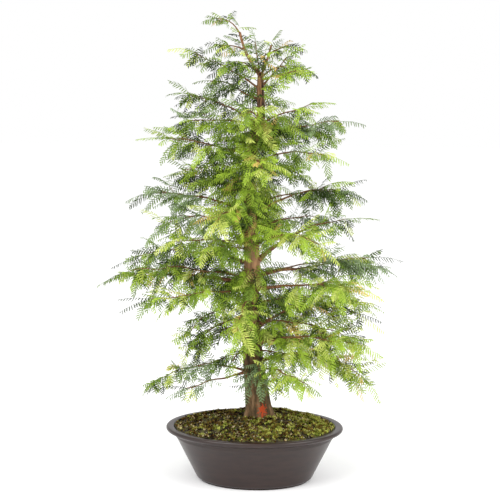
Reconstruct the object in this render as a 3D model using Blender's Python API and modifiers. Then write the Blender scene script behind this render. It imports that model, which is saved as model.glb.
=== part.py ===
"""A dawn redwood bonsai in an oval pot, in metres, +Z up.

The origin is the centre of the pot's flat underside. +X runs along the pot's long axis
and the tree's front faces -Y.
"""
import math
import random
from collections import namedtuple

import bmesh
import bpy
import numpy as np
from mathutils import Matrix, Vector
from mathutils.bvhtree import BVHTree

GAP = 0.0003                 # between solids that meet

# ---- pot: an oval bowl with a turned-out lip, by its half length; the depth follows the ratio
POT_LENGTH = 0.310
POT_DEPTH = 0.240
POT_HEIGHT = 0.095
POT_WALL = 0.0045
POT_FLOOR = 0.006
POT_FOOT = 0.0960            # half length of the inset foot
POT_FOOT_HEIGHT = 0.0025
POT_HEEL = 0.1035            # half length where the straight wall starts
POT_HEEL_ROUND = 0.0075
POT_SHOULDER = 0.1385        # half length where the wall meets the lip
POT_SHOULDER_HEIGHT = 0.0785
POT_MOUTH = 0.1410           # half length of the opening inside the lip
POT_LIP_ROUND = 0.0035
POT_LIP_EASE = (0.0020, 0.0015)  # the lip's inner edge: how far it rounds over, and how far it drops
POT_COVE = 0.0030            # hollow between the wall and the lip, in and up
POT_INNER_ROUND = 0.004      # bevel between floor and wall inside
POT_SEGMENTS = 52

# ---- soil: fills the pot, mossy, mounded up to the foot of the trunk
SOIL_EDGE_HEIGHT = 0.0895
SOIL_CREST_HEIGHT = 0.1067
SOIL_PAD = 0.040             # radius of the level patch under the trunk
SOIL_RINGS = 6
SOIL_FALL = (2.2, 0.75)      # powers that make the mound flat on top and steep at its edge
SOIL_UNEVEN = 0.0012
SOIL_INSET = 0.001           # from the pot's wall to the edge of the soil

# ---- trunk: height, centre x, centre y and radius, from the soil to the fork
TRUNK_FOOT = SOIL_CREST_HEIGHT + GAP
TRUNK = (
    (TRUNK_FOOT, 0.0051, 0.0300, 0.0222),
    (0.125, 0.0035, 0.0292, 0.0207),
    (0.151, 0.0010, 0.0280, 0.0197),
    (0.200, -0.0043, 0.0255, 0.0176),
    (0.250, -0.0076, 0.0235, 0.0158),
    (0.305, -0.0092, 0.0220, 0.0145),
    (0.383, -0.0059, 0.0190, 0.0132),
    (0.441, -0.0085, 0.0170, 0.0113),
    (0.492, -0.0090, 0.0150, 0.0102),
    (0.539, -0.0081, 0.0130, 0.0091),
    (0.586, -0.0035, 0.0120, 0.0080),
    (0.635, 0.0094, 0.0100, 0.0068),
    (0.680, 0.0092, 0.0085, 0.0056),
    (0.7085, 0.0099, 0.0080, 0.0048),
)
TRUNK_STATIONS = 26
FLARE = 0.30                 # how far the root flare stands out at the soil, as a share
FLARE_HEIGHT = 0.030
FLARE_LOBES = 5
FLARE_HOLLOW = 0.38          # how deep the flare is cut between its lobes, as a share
FLARE_FADE = 1.6

# ---- leaders: the two thin shoots above the fork
Leader = namedtuple("Leader", "name offset bearing length rise droop radius")
LEADERS = (
    Leader("leader_left", 0.0023, 182.0, 0.087, 48.0, -36.0, 0.0022),
    Leader("leader_right", 0.0021, 8.0, 0.055, 66.0, -12.0, 0.0018),
)
LEADER_TIP_RADIUS = 0.0012

# ---- rows: one bough with its mass of foliage, or a mass that springs from the trunk itself
# Height on the host, compass bearing (0 = +X, 90 = +Y), length along the whole row, slope at its
# foot and how much of that slope it loses, half width of the foliage, thickness at the foot, and
# the share of the row that is bare limb. Rows with a limb have a bough, the others only a mass.
Row = namedtuple("Row", "name host height bearing length rise droop spread girth limb")
ROWS = (
    Row("top_1", "leader_left", 0.779, 186, 0.054, 58, 70, 0.032, 0.0024, 0),
    Row("top_2", "leader_left", 0.748, 160, 0.064, 22, 40, 0.044, 0.0026, 0),
    Row("top_3", "leader_right", 0.742, 20, 0.050, 34, 45, 0.040, 0.0026, 0),
    Row("left_1", "trunk", 0.685, 196, 0.142, 36, 18, 0.054, 0.0034, 0),
    Row("left_2", "trunk", 0.625, 156, 0.162, 26, 19, 0.066, 0.0040, 0),
    Row("left_3", "trunk", 0.568, 202, 0.164, 20, 14, 0.070, 0.0040, 0),
    Row("left_4", "trunk", 0.507, 150, 0.154, 14, 14, 0.072, 0.0046, 0.26),
    Row("left_5", "trunk", 0.473, 184, 0.177, 22, 25, 0.076, 0.0048, 0.28),
    Row("left_6", "trunk", 0.437, 212, 0.175, 36, 63, 0.070, 0.0040, 0),
    Row("left_7", "trunk", 0.380, 158, 0.242, 14, 34, 0.088, 0.0064, 0.26),
    Row("left_8", "trunk", 0.344, 182, 0.226, 12, 20, 0.092, 0.0074, 0.28),
    Row("left_9", "trunk", 0.333, 216, 0.208, 4, 9, 0.082, 0.0044, 0),
    Row("left_10", "trunk", 0.281, 182, 0.122, -4, 58, 0.070, 0.0056, 0.28),
    Row("left_11", "trunk", 0.186, 170, 0.196, 14, 56, 0.050, 0.0040, 0.48),
    Row("left_12", "trunk", 0.185, 205, 0.126, -12, -6, 0.056, 0.0046, 0.34),
    Row("right_1", "trunk", 0.690, 25, 0.076, 45, 2, 0.048, 0.0030, 0),
    Row("right_2", "trunk", 0.697, 328, 0.088, 18, 12, 0.050, 0.0030, 0),
    Row("right_3", "trunk", 0.625, 345, 0.106, 24, 8, 0.060, 0.0036, 0),
    Row("right_4", "trunk", 0.601, 18, 0.161, 14, 12, 0.066, 0.0044, 0.28),
    Row("right_5", "trunk", 0.551, 338, 0.153, 30, 43, 0.066, 0.0040, 0),
    Row("right_6", "trunk", 0.467, 14, 0.173, 36, 49, 0.074, 0.0052, 0.30),
    Row("right_7", "trunk", 0.413, 318, 0.185, 32, 58, 0.070, 0.0042, 0),
    Row("right_8", "trunk", 0.389, 350, 0.194, 44, 40, 0.078, 0.0078, 0.38),
    Row("right_9", "trunk", 0.358, 10, 0.218, 12, 8, 0.082, 0.0058, 0.34),
    Row("right_10", "trunk", 0.336, 336, 0.206, 12, 13, 0.084, 0.0062, 0.26),
    Row("right_11", "trunk", 0.269, 10, 0.202, 36, 68, 0.080, 0.0056, 0.28),
    Row("right_12", "trunk", 0.240, 336, 0.208, 18, 29, 0.080, 0.0066, 0.26),
    Row("right_13", "trunk", 0.207, 353, 0.205, 22, 64, 0.079, 0.0062, 0.30),
    Row("right_14", "trunk", 0.197, 306, 0.175, 6, 10, 0.056, 0.0036, 0),
    Row("front_1", "trunk", 0.632, 262, 0.094, 26, 40, 0.054, 0.0030, 0),
    Row("front_2", "trunk", 0.556, 286, 0.122, 18, 40, 0.060, 0.0034, 0),
    Row("front_3", "trunk", 0.478, 252, 0.144, 14, 38, 0.066, 0.0036, 0),
    Row("front_4", "trunk", 0.318, 268, 0.152, 4, 36, 0.068, 0.0036, 0),
    Row("front_5", "trunk", 0.203, 262, 0.062, -20, 56, 0.036, 0.0028, 0),
    Row("back_1", "trunk", 0.655, 100, 0.100, 30, 26, 0.056, 0.0030, 0),
    Row("back_2", "trunk", 0.578, 74, 0.134, 22, 24, 0.066, 0.0036, 0),
    Row("back_3", "trunk", 0.500, 112, 0.158, 18, 28, 0.074, 0.0040, 0),
    Row("back_4", "trunk", 0.420, 80, 0.182, 18, 32, 0.080, 0.0044, 0),
    Row("back_5", "trunk", 0.325, 104, 0.197, 12, 28, 0.086, 0.0046, 0),
    Row("back_6", "trunk", 0.240, 76, 0.178, 12, 34, 0.080, 0.0042, 0),
)
ROW_STEPS = 16
FOOT_RIM = 12                # places round a foot's rim where its distance to the bark is taken
FOOT_OUT = 0.05              # farther from a host's middle than any bark
TIP_RADIUS = 0.0014          # of a row's wood at its end
TAPER = 0.85
LIMB_STATIONS = 5
STEM_STATIONS = 4

# ---- shoots: side shoots of a mass's stem, left and right in turn
STEM_SHORT = 0.6             # how far the stem's wood stops short of the row's end, in blades
STEM_LEAST = 0.22            # least share of its row that a stem takes
SHOOT_STEP = 0.0175
SHOOT_LEAST = 3
SHOOT_MOST = 7
FORK_AT_FOOT = 62.0          # degrees between stem and shoot
FORK_AT_TIP = 42.0
REACH_LEAST = 0.72           # how far shoots reach to the side, as a share of the row's spread,
REACH_SWELL = 0.40           # and how much more in the middle of a mass than at its ends
STEM_SLOPE = 0.6             # share of the stem's slope that its side shoots keep
SHOOT_SLOPES = (-24, 6)      # degrees added to that, by chance
ROLLS = (5, 60)              # degrees that a blade turns its outer side down
WOOD_LEAST = 0.006           # bare wood before a side shoot's spray
TWIG_LEAST = 0.024           # bare wood that is long enough to be a twig of its own
TWIG_RADII = (0.0011, 0.0010)

# ---- blades: each is one spray of needles, a toothed lens
BLADE_TEETH = 3
BLADE_LENGTHS = (0.046, 0.080)
BLADE_PER_SPREAD = 0.95      # length for each metre of the row's half width
BLADE_WIDTH = 0.54           # as a share of its length
BLADE_THICK = 0.0022
BLADE_NOTCH = 0.62           # half width in a notch, as a share of that on a tooth
BLADE_SHAPE = (0.75, 0.6)    # powers that set the widest place and the fullness of the lens
BLADE_FOLD = 22.0            # degrees that each side hangs
BLADE_DROOP = 34.0
BLADE_STALK = 0.0010         # width and height of the stalk
BLADE_SUNK = 0.0045          # from a blade back to its stalk's root, inside its twig
STALK_SHOWS = 0.0015         # of that stalk, clear of the twig
CLEARANCE = 0.0010           # kept between one mass and any other solid
SEED = 1                     # of every chance above


def clear_scene():
    for item in list(bpy.data.objects):
        bpy.data.objects.remove(item, do_unlink=True)


def collection(name):
    group = bpy.data.collections.new(name)
    bpy.context.scene.collection.children.link(group)
    return group


def linear(red, green, blue):
    """Linear colour from 0 to 255 screen values."""
    return tuple((value / 255.0) ** 2.2 for value in (red, green, blue)) + (1.0,)


def material(name, colour, roughness):
    made = bpy.data.materials.new(name)
    made.use_nodes = True
    shader = made.node_tree.nodes["Principled BSDF"]
    shader.inputs["Base Color"].default_value = colour
    shader.inputs["Roughness"].default_value = roughness
    shader.inputs["Metallic"].default_value = 0.0
    made.diffuse_color = colour
    return made


def add(name, mesh, group, finish=None):
    item = bpy.data.objects.new(name, mesh)
    group.objects.link(item)
    if finish:
        mesh.materials.clear()
        mesh.materials.append(finish)
    return item


def as_mesh(item, name, weld=1e-6):
    """The evaluated shape of an object as a closed mesh, its loose caps welded."""
    bpy.context.view_layer.update()
    graph = bpy.context.evaluated_depsgraph_get()
    mesh = bpy.data.meshes.new_from_object(item.evaluated_get(graph))
    mesh.name = name
    mesh.transform(item.matrix_world)
    work = bmesh.new()
    work.from_mesh(mesh)
    bmesh.ops.remove_doubles(work, verts=work.verts, dist=weld)
    bmesh.ops.recalc_face_normals(work, faces=work.faces)
    work.to_mesh(mesh)
    work.free()
    return mesh


def smooth(mesh, degrees=40.0):
    mesh.shade_smooth()
    mesh.set_sharp_from_angle(angle=math.radians(degrees))


# ---- pot and soil

def arc(centre, radius, start, end, steps):
    """Points of an arc in the profile plane, angles in degrees from +X."""
    turn = np.radians(np.linspace(start, end, steps + 1))
    return [(centre[0] + radius * math.cos(a), centre[1] + radius * math.sin(a)) for a in turn]


def pot_inside(height):
    """Half length of the cavity at a height: the straight wall less its thickness."""
    share = (height - POT_HEEL_ROUND) / (POT_SHOULDER_HEIGHT - POT_HEEL_ROUND)
    return POT_HEEL + (POT_SHOULDER - POT_HEEL) * share - POT_WALL


def turned(name, profile, group, finish):
    """A profile of (half length, height), turned about Z and pressed to the pot's oval."""
    mesh = bpy.data.meshes.new(name + "_profile")
    mesh.from_pydata([(x, 0, z) for x, z in profile], [(i, i + 1) for i in range(len(profile) - 1)], [])
    item = add(name + "_profile", mesh, group)
    screw = item.modifiers.new("turn", "SCREW")
    screw.steps = POT_SEGMENTS
    screw.render_steps = POT_SEGMENTS
    screw.use_merge_vertices = True
    screw.merge_threshold = 1e-5
    shape = as_mesh(item, name)
    bpy.data.objects.remove(item, do_unlink=True)
    shape.transform(Matrix.Diagonal((1.0, POT_DEPTH / POT_LENGTH, 1.0, 1.0)))
    smooth(shape)
    return add(name, shape, group, finish)


def make_pot(group, finish):
    lip_x = POT_LENGTH / 2 - POT_LIP_ROUND
    lip_z = POT_HEIGHT - POT_LIP_ROUND
    heel = (POT_HEEL - POT_HEEL_ROUND, POT_FOOT_HEIGHT + POT_HEEL_ROUND)
    inner_heel = POT_FLOOR + POT_INNER_ROUND
    profile = [(0.0, POT_FLOOR), (pot_inside(POT_FLOOR) - POT_INNER_ROUND, POT_FLOOR)]
    profile += [(pot_inside(inner_heel), inner_heel)]
    profile += [(pot_inside(POT_SHOULDER_HEIGHT), POT_SHOULDER_HEIGHT)]
    profile += [(POT_MOUTH, POT_HEIGHT - POT_LIP_EASE[1]), (POT_MOUTH + POT_LIP_EASE[0], POT_HEIGHT)]
    profile += arc((lip_x, lip_z), POT_LIP_ROUND, 90, -60, 4)
    profile += [(POT_SHOULDER + POT_COVE, POT_SHOULDER_HEIGHT + POT_COVE)]
    profile += [(POT_SHOULDER, POT_SHOULDER_HEIGHT)]
    profile += arc(heel, POT_HEEL_ROUND, -15, -90, 2)
    profile += [(POT_FOOT, POT_FOOT_HEIGHT), (POT_FOOT - 0.0006, 0.0), (0.0, 0.0)]
    return turned("pot", profile, group, finish)


def soil_height(x, y):
    """The moss-topped surface: a mound that crests in a level pad at the trunk's foot."""
    out = math.hypot(x / POT_LENGTH, y / POT_DEPTH) * 2
    rise = max(0.0, 1 - out ** SOIL_FALL[0]) ** SOIL_FALL[1]
    mound = SOIL_EDGE_HEIGHT + (SOIL_CREST_HEIGHT - SOIL_EDGE_HEIGHT) * rise
    mound += SOIL_UNEVEN * math.sin(70 * x + 1.3) * math.cos(90 * y)
    away = math.hypot(x - TRUNK[0][1], y - TRUNK[0][2])
    blend = min(1.0, max(0.0, (away - SOIL_PAD) / SOIL_PAD))
    return SOIL_CREST_HEIGHT + (min(mound, SOIL_CREST_HEIGHT) - SOIL_CREST_HEIGHT) * blend


def make_soil(group, finish):
    edge = pot_inside(SOIL_EDGE_HEIGHT) - SOIL_INSET - GAP
    floor = POT_FLOOR + GAP
    heel = POT_FLOOR + POT_INNER_ROUND
    shoulder = pot_inside(POT_SHOULDER_HEIGHT) - GAP
    profile = [(edge * i / SOIL_RINGS, SOIL_EDGE_HEIGHT) for i in range(SOIL_RINGS + 1)]
    profile += [(shoulder, POT_SHOULDER_HEIGHT), (pot_inside(heel) - GAP, heel)]
    profile += [(pot_inside(POT_FLOOR) - POT_INNER_ROUND - GAP, floor), (0.0, floor)]
    soil = turned("soil", profile, group, finish)
    for vertex in soil.data.vertices:
        if vertex.co.z > SOIL_EDGE_HEIGHT - 1e-5:
            vertex.co.z = soil_height(vertex.co.x, vertex.co.y)
    return soil


# ---- wood

def smooth_row(rows, height):
    """A row of a table at any height, on a smooth curve through the table's rows."""
    table = np.array(rows)
    slopes = np.gradient(table, table[:, 0], axis=0)
    i = int(np.clip(np.searchsorted(table[:, 0], height) - 1, 0, len(table) - 2))
    span = table[i + 1, 0] - table[i, 0]
    u = (height - table[i, 0]) / span
    return (table[i] * (2 * u ** 3 - 3 * u ** 2 + 1) + slopes[i] * span * (u ** 3 - 2 * u ** 2 + u)
            + table[i + 1] * (3 * u ** 2 - 2 * u ** 3) + slopes[i + 1] * span * (u ** 3 - u ** 2))


def direction(bearing, rise):
    heading, slope = math.radians(bearing), math.radians(rise)
    level = math.cos(slope)
    return np.array([math.cos(heading) * level, math.sin(heading) * level, math.sin(slope)])


def walk(start, bearing, rise, droop, length, steps):
    """Points along a shoot whose slope falls evenly from rise to rise - droop."""
    points = [np.array(start, dtype=float)]
    for i in range(steps):
        step = direction(bearing, rise - droop * (i + 0.5) / steps)
        points.append(points[-1] + step * length / steps)
    return points


def point_at(points, share):
    """The point at a share of the way along an evenly spaced line."""
    place = share * (len(points) - 1)
    i = min(int(place), len(points) - 2)
    return points[i] + (points[i + 1] - points[i]) * (place - i)


def tube(name, points, radii, group, profile=None, resolution=1):
    """A tapering limb as a curve, round, or with the section of a profile curve."""
    curve = bpy.data.curves.new(name, "CURVE")
    curve.dimensions = "3D"
    spline = curve.splines.new("POLY")
    spline.points.add(len(points) - 1)
    for target, point, radius in zip(spline.points, points, radii):
        target.co = (*point, 1.0)
        target.radius = radius
    if profile:
        curve.bevel_mode = "OBJECT"
        curve.bevel_object = profile
    else:
        curve.bevel_depth = 1.0
        curve.bevel_resolution = resolution
    curve.use_fill_caps = True
    item = bpy.data.objects.new(name, curve)
    group.objects.link(item)
    return item


def solid_tube(name, points, radii, group, finish=None, profile=None, resolution=1):
    """The same limb as a closed mesh."""
    curve = tube(name + "_line", points, radii, group, profile, resolution)
    mesh = as_mesh(curve, name)
    bpy.data.objects.remove(curve, do_unlink=True)
    return add(name, mesh, group, finish)


def level_foot(item, height, reach):
    """Presses the lowest ring of a limb flat at a height."""
    for vertex in item.data.vertices:
        if vertex.co.z < height + reach:
            vertex.co.z = height


def make_trunk(group, finish):
    heights = np.linspace(TRUNK[0][0], TRUNK[-1][0], TRUNK_STATIONS)
    rows = [smooth_row(TRUNK, height) for height in heights]
    trunk = solid_tube("trunk", [(x, y, z) for z, x, y, _ in rows], [row[3] for row in rows],
                       group, finish, resolution=5)
    for vertex in trunk.data.vertices:
        up = (vertex.co.z - TRUNK_FOOT) / FLARE_HEIGHT
        _, x, y, _ = smooth_row(TRUNK, max(TRUNK_FOOT, min(vertex.co.z, TRUNK[-1][0])))
        turn = math.atan2(vertex.co.y - y, vertex.co.x - x)
        lobes = 1 - FLARE_HOLLOW * (1 - math.cos(FLARE_LOBES * turn + 0.4))
        grow = FLARE * lobes * math.exp(-max(0.0, up) * FLARE_FADE)
        vertex.co.x += (vertex.co.x - x) * grow
        vertex.co.y += (vertex.co.y - y) * grow
    level_foot(trunk, TRUNK_FOOT, 0.0015)
    smooth(trunk.data)
    return trunk


def leader_line(leader):
    top = smooth_row(TRUNK, TRUNK[-1][0])
    side = math.radians(leader.bearing)
    foot = (top[1] + leader.offset * math.cos(side), top[2] + leader.offset * math.sin(side), top[0] + GAP)
    return walk(foot, leader.bearing, leader.rise, leader.droop, leader.length, ROW_STEPS)


def leader_radii(leader):
    return np.linspace(leader.radius, LEADER_TIP_RADIUS, ROW_STEPS + 1)


def make_leader(leader, group, finish):
    line = leader_line(leader)[::4]
    item = solid_tube(leader.name, line, leader_radii(leader)[::4], group, finish)
    level_foot(item, TRUNK[-1][0] + GAP, 0.0016)
    smooth(item.data)
    return item


def host_at(host, height):
    """Centre and radius of the trunk or a leader at a height."""
    if host == "trunk":
        _, x, y, radius = smooth_row(TRUNK, height)
        return np.array([x, y, height]), radius
    leader = next(item for item in LEADERS if item.name == host)
    line = np.array(leader_line(leader))
    centre = [np.interp(height, line[:, 2], line[:, axis]) for axis in range(3)]
    return np.array(centre), np.interp(height, line[:, 2], leader_radii(leader))


def blade_length(row):
    return min(BLADE_LENGTHS[1], max(BLADE_LENGTHS[0], row.spread * BLADE_PER_SPREAD))


def slope_at(row, share):
    return row.rise - row.droop * share


def row_radius(row, share):
    foot = row.girth / 2
    return TIP_RADIUS + (foot - TIP_RADIUS) * (1 - share) ** TAPER


def stem_shares(row):
    """Where the wood of a row's mass starts and ends, as shares of the row.

    A stem that goes on from a bough turns a little against its tip, so its gap widens with both
    the turn and the thickness.
    """
    start = 0.0
    if row.limb:
        turn = abs(row.droop) * (row.limb / (LIMB_STATIONS - 1) + (1 - row.limb) / (STEM_STATIONS - 1)) / 2
        start = row.limb + (GAP + row_radius(row, row.limb) * math.sin(math.radians(turn))) / row.length
    return start, max(start + STEM_LEAST, 1.0 - STEM_SHORT * blade_length(row) / row.length)


def row_line(row, bark):
    """The whole line of a row. Its flat foot stands off its host's bark by the gap."""
    first = row.limb / (LIMB_STATIONS - 1) if row.limb else stem_shares(row)[1] / (STEM_STATIONS - 1)
    outward = direction(row.bearing, 0)
    side = direction(row.bearing + 90, 0)
    up = direction(row.bearing, slope_at(row, first / 2) + 90)
    start = host_at(row.host, row.height)[0] + outward * FOOT_OUT
    rim = [start]
    for i in range(FOOT_RIM):
        turn = math.tau * i / FOOT_RIM
        rim.append(start + (side * math.cos(turn) + up * math.sin(turn)) * row.girth / 2)
    hits = [bark.ray_cast(Vector(point), Vector(-outward)) for point in rim]
    clear = min(distance for where, _, _, distance in hits if where)
    return walk(start - outward * (clear - GAP), row.bearing, row.rise, row.droop, row.length, ROW_STEPS)


def make_bough(row, line, group, finish):
    shares = np.linspace(0.0, row.limb, LIMB_STATIONS)
    bough = solid_tube("bough_" + row.name, [point_at(line, s) for s in shares],
                       [row_radius(row, s) for s in shares], group, finish)
    smooth(bough.data)
    return bough


# ---- foliage

# A shoot springs from the stem's axis: bare wood first, then one spray of needles.
Shoot = namedtuple("Shoot", "root bearing rise wood length roll")


def grow_shoots(row, line):
    """The shoots of a row's mass: the one that ends its stem, then side shoots from the tip in."""
    dice = random.Random(f"{SEED} {row.name}")
    start, end = stem_shares(row)
    size = blade_length(row)
    tip_roll = dice.uniform(-ROLLS[1], ROLLS[1]) / 2
    shoots = [Shoot(point_at(line, end), row.bearing, slope_at(row, end), STALK_SHOWS, size, tip_roll)]
    count = int(min(SHOOT_MOST, max(SHOOT_LEAST, round((end - start) * row.length / SHOOT_STEP))))
    side = dice.choice((-1, 1))
    for i in range(count):
        inward = (i + 0.5) / count
        share = end - (end - start) * inward
        fork = FORK_AT_TIP + (FORK_AT_FOOT - FORK_AT_TIP) * inward
        swell = math.sin(math.pi * (0.15 + 0.7 * inward))
        reach = row.spread * (REACH_LEAST + REACH_SWELL * swell) * dice.uniform(0.9, 1.15)
        length = size * dice.uniform(0.82, 1.02)
        bearing = row.bearing + side * fork * dice.uniform(0.85, 1.15)
        rise = slope_at(row, share) * STEM_SLOPE + dice.uniform(*SHOOT_SLOPES)
        wood = max(WOOD_LEAST, reach - length)
        roll = side * dice.uniform(*ROLLS)
        shoots.append(Shoot(point_at(line, share), bearing, rise, wood, length, roll))
        side = -side
    return shoots


def blade_outline():
    """Share along and half width (as a share of the widest) of one toothed side."""
    points = []
    for i in range(1, 2 * BLADE_TEETH):
        along = 0.96 * i / (2 * BLADE_TEETH)
        half = math.sin(math.pi * along ** BLADE_SHAPE[0]) ** BLADE_SHAPE[1]
        points.append((along, half * (1.0 if i % 2 else BLADE_NOTCH)))
    return points


def blade_mesh(shoot, sunk, name):
    """A toothed lens on a stalk: it arches down along its length and hangs on both sides."""
    start = direction(shoot.bearing, shoot.rise)
    level = direction(shoot.bearing + 90, 0)
    base = shoot.root + start * shoot.wood
    line = walk(base, shoot.bearing, shoot.rise, BLADE_DROOP, shoot.length, 8)
    roll = math.radians(shoot.roll)
    fold = math.radians(BLADE_FOLD)
    half_width = shoot.length * BLADE_WIDTH / 2
    stalk = BLADE_STALK / 2

    def place(point, slope, across, lift):
        up = direction(shoot.bearing, slope + 90)
        across_way = level * math.cos(roll) - up * math.sin(roll)
        lift_way = up * math.cos(roll) + level * math.sin(roll)
        side = across * math.cos(fold)
        return point + across_way * side + lift_way * (lift - abs(across) * math.sin(fold))

    def on_blade(along, across, lift):
        return place(point_at(line, along), shoot.rise - BLADE_DROOP * along, across, lift)

    def on_root(across, lift):
        return place(base - start * sunk, shoot.rise, across, lift)

    sides = [(0.0, stalk)] + [(along, half * half_width) for along, half in blade_outline()]
    left = [on_blade(along, half, 0.0) for along, half in sides]
    right = [on_blade(along, -half, 0.0) for along, half in reversed(sides)]
    loop = [on_root(stalk, 0.0), *left, on_blade(1.0, 0.0, 0.0), *right, on_root(-stalk, 0.0)]
    count = len(loop)
    verts = loop + [on_root(0.0, stalk), on_root(0.0, -stalk)]
    verts += [on_blade(0.5, 0.0, BLADE_THICK / 2), on_blade(0.5, 0.0, -BLADE_THICK / 2)]
    root_top, root_low, top, low = range(count, count + 4)
    faces = [(i, i + 1, low) for i in range(count - 1)]
    faces += [(i + 1, i, top) for i in range(count - 1)]
    faces += [(count - 1, root_low, low), (root_low, 0, low)]
    faces += [(root_top, count - 1, top), (0, root_top, top)]
    faces += [(0, root_low, root_top), (root_low, count - 1, root_top)]
    mesh = bpy.data.meshes.new(name)
    mesh.from_pydata([tuple(v) for v in verts], [], faces)
    work = bmesh.new()
    work.from_mesh(mesh)
    bmesh.ops.recalc_face_normals(work, faces=work.faces)
    work.to_mesh(mesh)
    work.free()
    return mesh


def make_shoot(shoot, label, pieces, section):
    """A shoot's solids: a long one has its own three-sided twig, a short one only a stalk."""
    blade = label + "_blade"
    if shoot.wood < TWIG_LEAST:
        return [add(blade, blade_mesh(shoot, max(shoot.wood, BLADE_SUNK), blade), pieces)]
    end = shoot.root + direction(shoot.bearing, shoot.rise) * (shoot.wood - STALK_SHOWS)
    twig = solid_tube(label + "_twig", [shoot.root, end], TWIG_RADII, pieces, profile=section)
    return [twig, add(blade, blade_mesh(shoot, BLADE_SUNK, blade), pieces)]


class Space:
    """Which solid holds which piece of space, so that each mass keeps to its own."""

    def __init__(self):
        self.held = []

    @staticmethod
    def tree(mesh, margin=0.0):
        points = [v.co + v.normal * margin for v in mesh.vertices]
        low = Vector([min(p[i] for p in points) for i in range(3)])
        high = Vector([max(p[i] for p in points) for i in range(3)])
        return BVHTree.FromPolygons(points, [tuple(f.vertices) for f in mesh.polygons]), low, high

    def hold(self, owner, mesh):
        self.held.append((owner, *self.tree(mesh)))

    def is_free(self, owner, mesh):
        tree, low, high = self.tree(mesh, CLEARANCE)
        for other, other_tree, other_low, other_high in self.held:
            apart = any(high[i] < other_low[i] or low[i] > other_high[i] for i in range(3))
            if other != owner and not apart and tree.overlap(other_tree):
                return False
        return True


def join(stem, pieces, name, finish, group):
    """One Boolean union of a stem with its twigs and blades, kept as its largest shell."""
    union = stem.modifiers.new("join", "BOOLEAN")
    union.operation = "UNION"
    union.operand_type = "COLLECTION"
    union.collection = pieces
    union.solver = "MANIFOLD"
    mesh = as_mesh(stem, name, weld=1e-8)
    keep_largest_shell(mesh)
    for item in list(pieces.objects) + [stem]:
        bpy.data.objects.remove(item, do_unlink=True)
    bpy.data.collections.remove(pieces)
    return add(name, mesh, group, finish)


def keep_largest_shell(mesh):
    """Drops sealed hollows and loose scraps."""
    work = bmesh.new()
    work.from_mesh(mesh)
    bmesh.ops.triangulate(work, faces=work.faces)
    left = set(work.faces)
    shells = []
    while left:
        shell = {left.pop()}
        front = list(shell)
        while front:
            face = front.pop()
            joints = [edge for edge in face.edges if edge.is_manifold]
            near = {other for edge in joints for other in edge.link_faces} & left
            left -= near
            shell |= near
            front.extend(near)
        shells.append(shell)
    shells.sort(key=len)
    spare = [face for shell in shells[:-1] for face in shell]
    bmesh.ops.delete(work, geom=spare, context="FACES")
    work.to_mesh(mesh)
    work.free()


def triangle_section(group):
    """The three-sided section of the twigs, one metre in radius."""
    curve = bpy.data.curves.new("twig_section", "CURVE")
    curve.dimensions = "2D"
    spline = curve.splines.new("POLY")
    spline.points.add(2)
    for i, point in enumerate(spline.points):
        turn = math.radians(90 + 120 * i)
        point.co = (math.cos(turn), math.sin(turn), 0.0, 1.0)
    spline.use_cyclic_u = True
    item = bpy.data.objects.new("twig_section", curve)
    item.hide_render = True
    item.display_type = "WIRE"
    group.objects.link(item)
    return item


def make_foliage(lines, space, group, finish):
    """Every mass: the stems first, then their shoots in turn, from the tips inwards."""
    workshop = collection("workshop")
    section = triangle_section(workshop)
    masses = {}
    for row in ROWS:
        name = "foliage_" + row.name
        line = lines[row]
        shares = np.linspace(*stem_shares(row), STEM_STATIONS)
        stem = solid_tube(name + "_stem", [point_at(line, s) for s in shares],
                          [row_radius(row, s) for s in shares], workshop, resolution=0)
        masses[name] = (stem, collection(name + "_pieces"), grow_shoots(row, line))
        space.hold(name, stem.data)

    kept = dict.fromkeys(masses, 0)
    for turn in range(SHOOT_MOST + 1):
        for name, (stem, pieces, shoots) in masses.items():
            if turn >= len(shoots):
                continue
            solids = make_shoot(shoots[turn], f"{name}_{turn}", pieces, section)
            if all(space.is_free(name, solid.data) for solid in solids):
                for solid in solids:
                    space.hold(name, solid.data)
                kept[name] += 1
            else:
                for solid in solids:
                    bpy.data.objects.remove(solid, do_unlink=True)

    for name, (stem, pieces, shoots) in masses.items():
        mass = join(stem, pieces, name, finish, group)
        print(name, kept[name], "of", len(shoots), len(mass.data.polygons))
    bpy.data.objects.remove(section, do_unlink=True)
    bpy.data.collections.remove(workshop)


def main():
    clear_scene()
    tree = collection("dawn_redwood_bonsai")
    bark = material("bark", linear(126, 84, 62), 0.85)
    leaf = material("foliage", linear(112, 158, 52), 0.60)
    umber = material("pot", linear(84, 75, 72), 0.55)
    moss = material("moss", linear(81, 74, 35), 0.95)

    pot = make_pot(tree, umber)
    soil = make_soil(tree, moss)
    trunk = make_trunk(tree, bark)
    leaders = [make_leader(leader, tree, bark) for leader in LEADERS]
    barks = {host.name: Space.tree(host.data)[0] for host in [trunk, *leaders]}
    lines = {row: row_line(row, barks[row.host]) for row in ROWS}
    boughs = [make_bough(row, lines[row], tree, bark) for row in ROWS if row.limb]
    space = Space()
    for solid in [pot, soil, trunk, *leaders, *boughs]:
        space.hold(solid.name, solid.data)
    make_foliage(lines, space, tree, leaf)


main()
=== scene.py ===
"""The looks of a dawn redwood bonsai in an oval pot, in metres, +Z up.

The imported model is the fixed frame. The trunk's line and the rows of boughs repeat the model's
own rule, and everything finer grows on from them.
"""
import random
from collections import namedtuple
from math import atan, cos, exp, hypot, pi, radians, sin, tau

import bpy
import numpy as np
from mathutils import Matrix, Vector, noise
from mathutils.bvhtree import BVHTree

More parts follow.
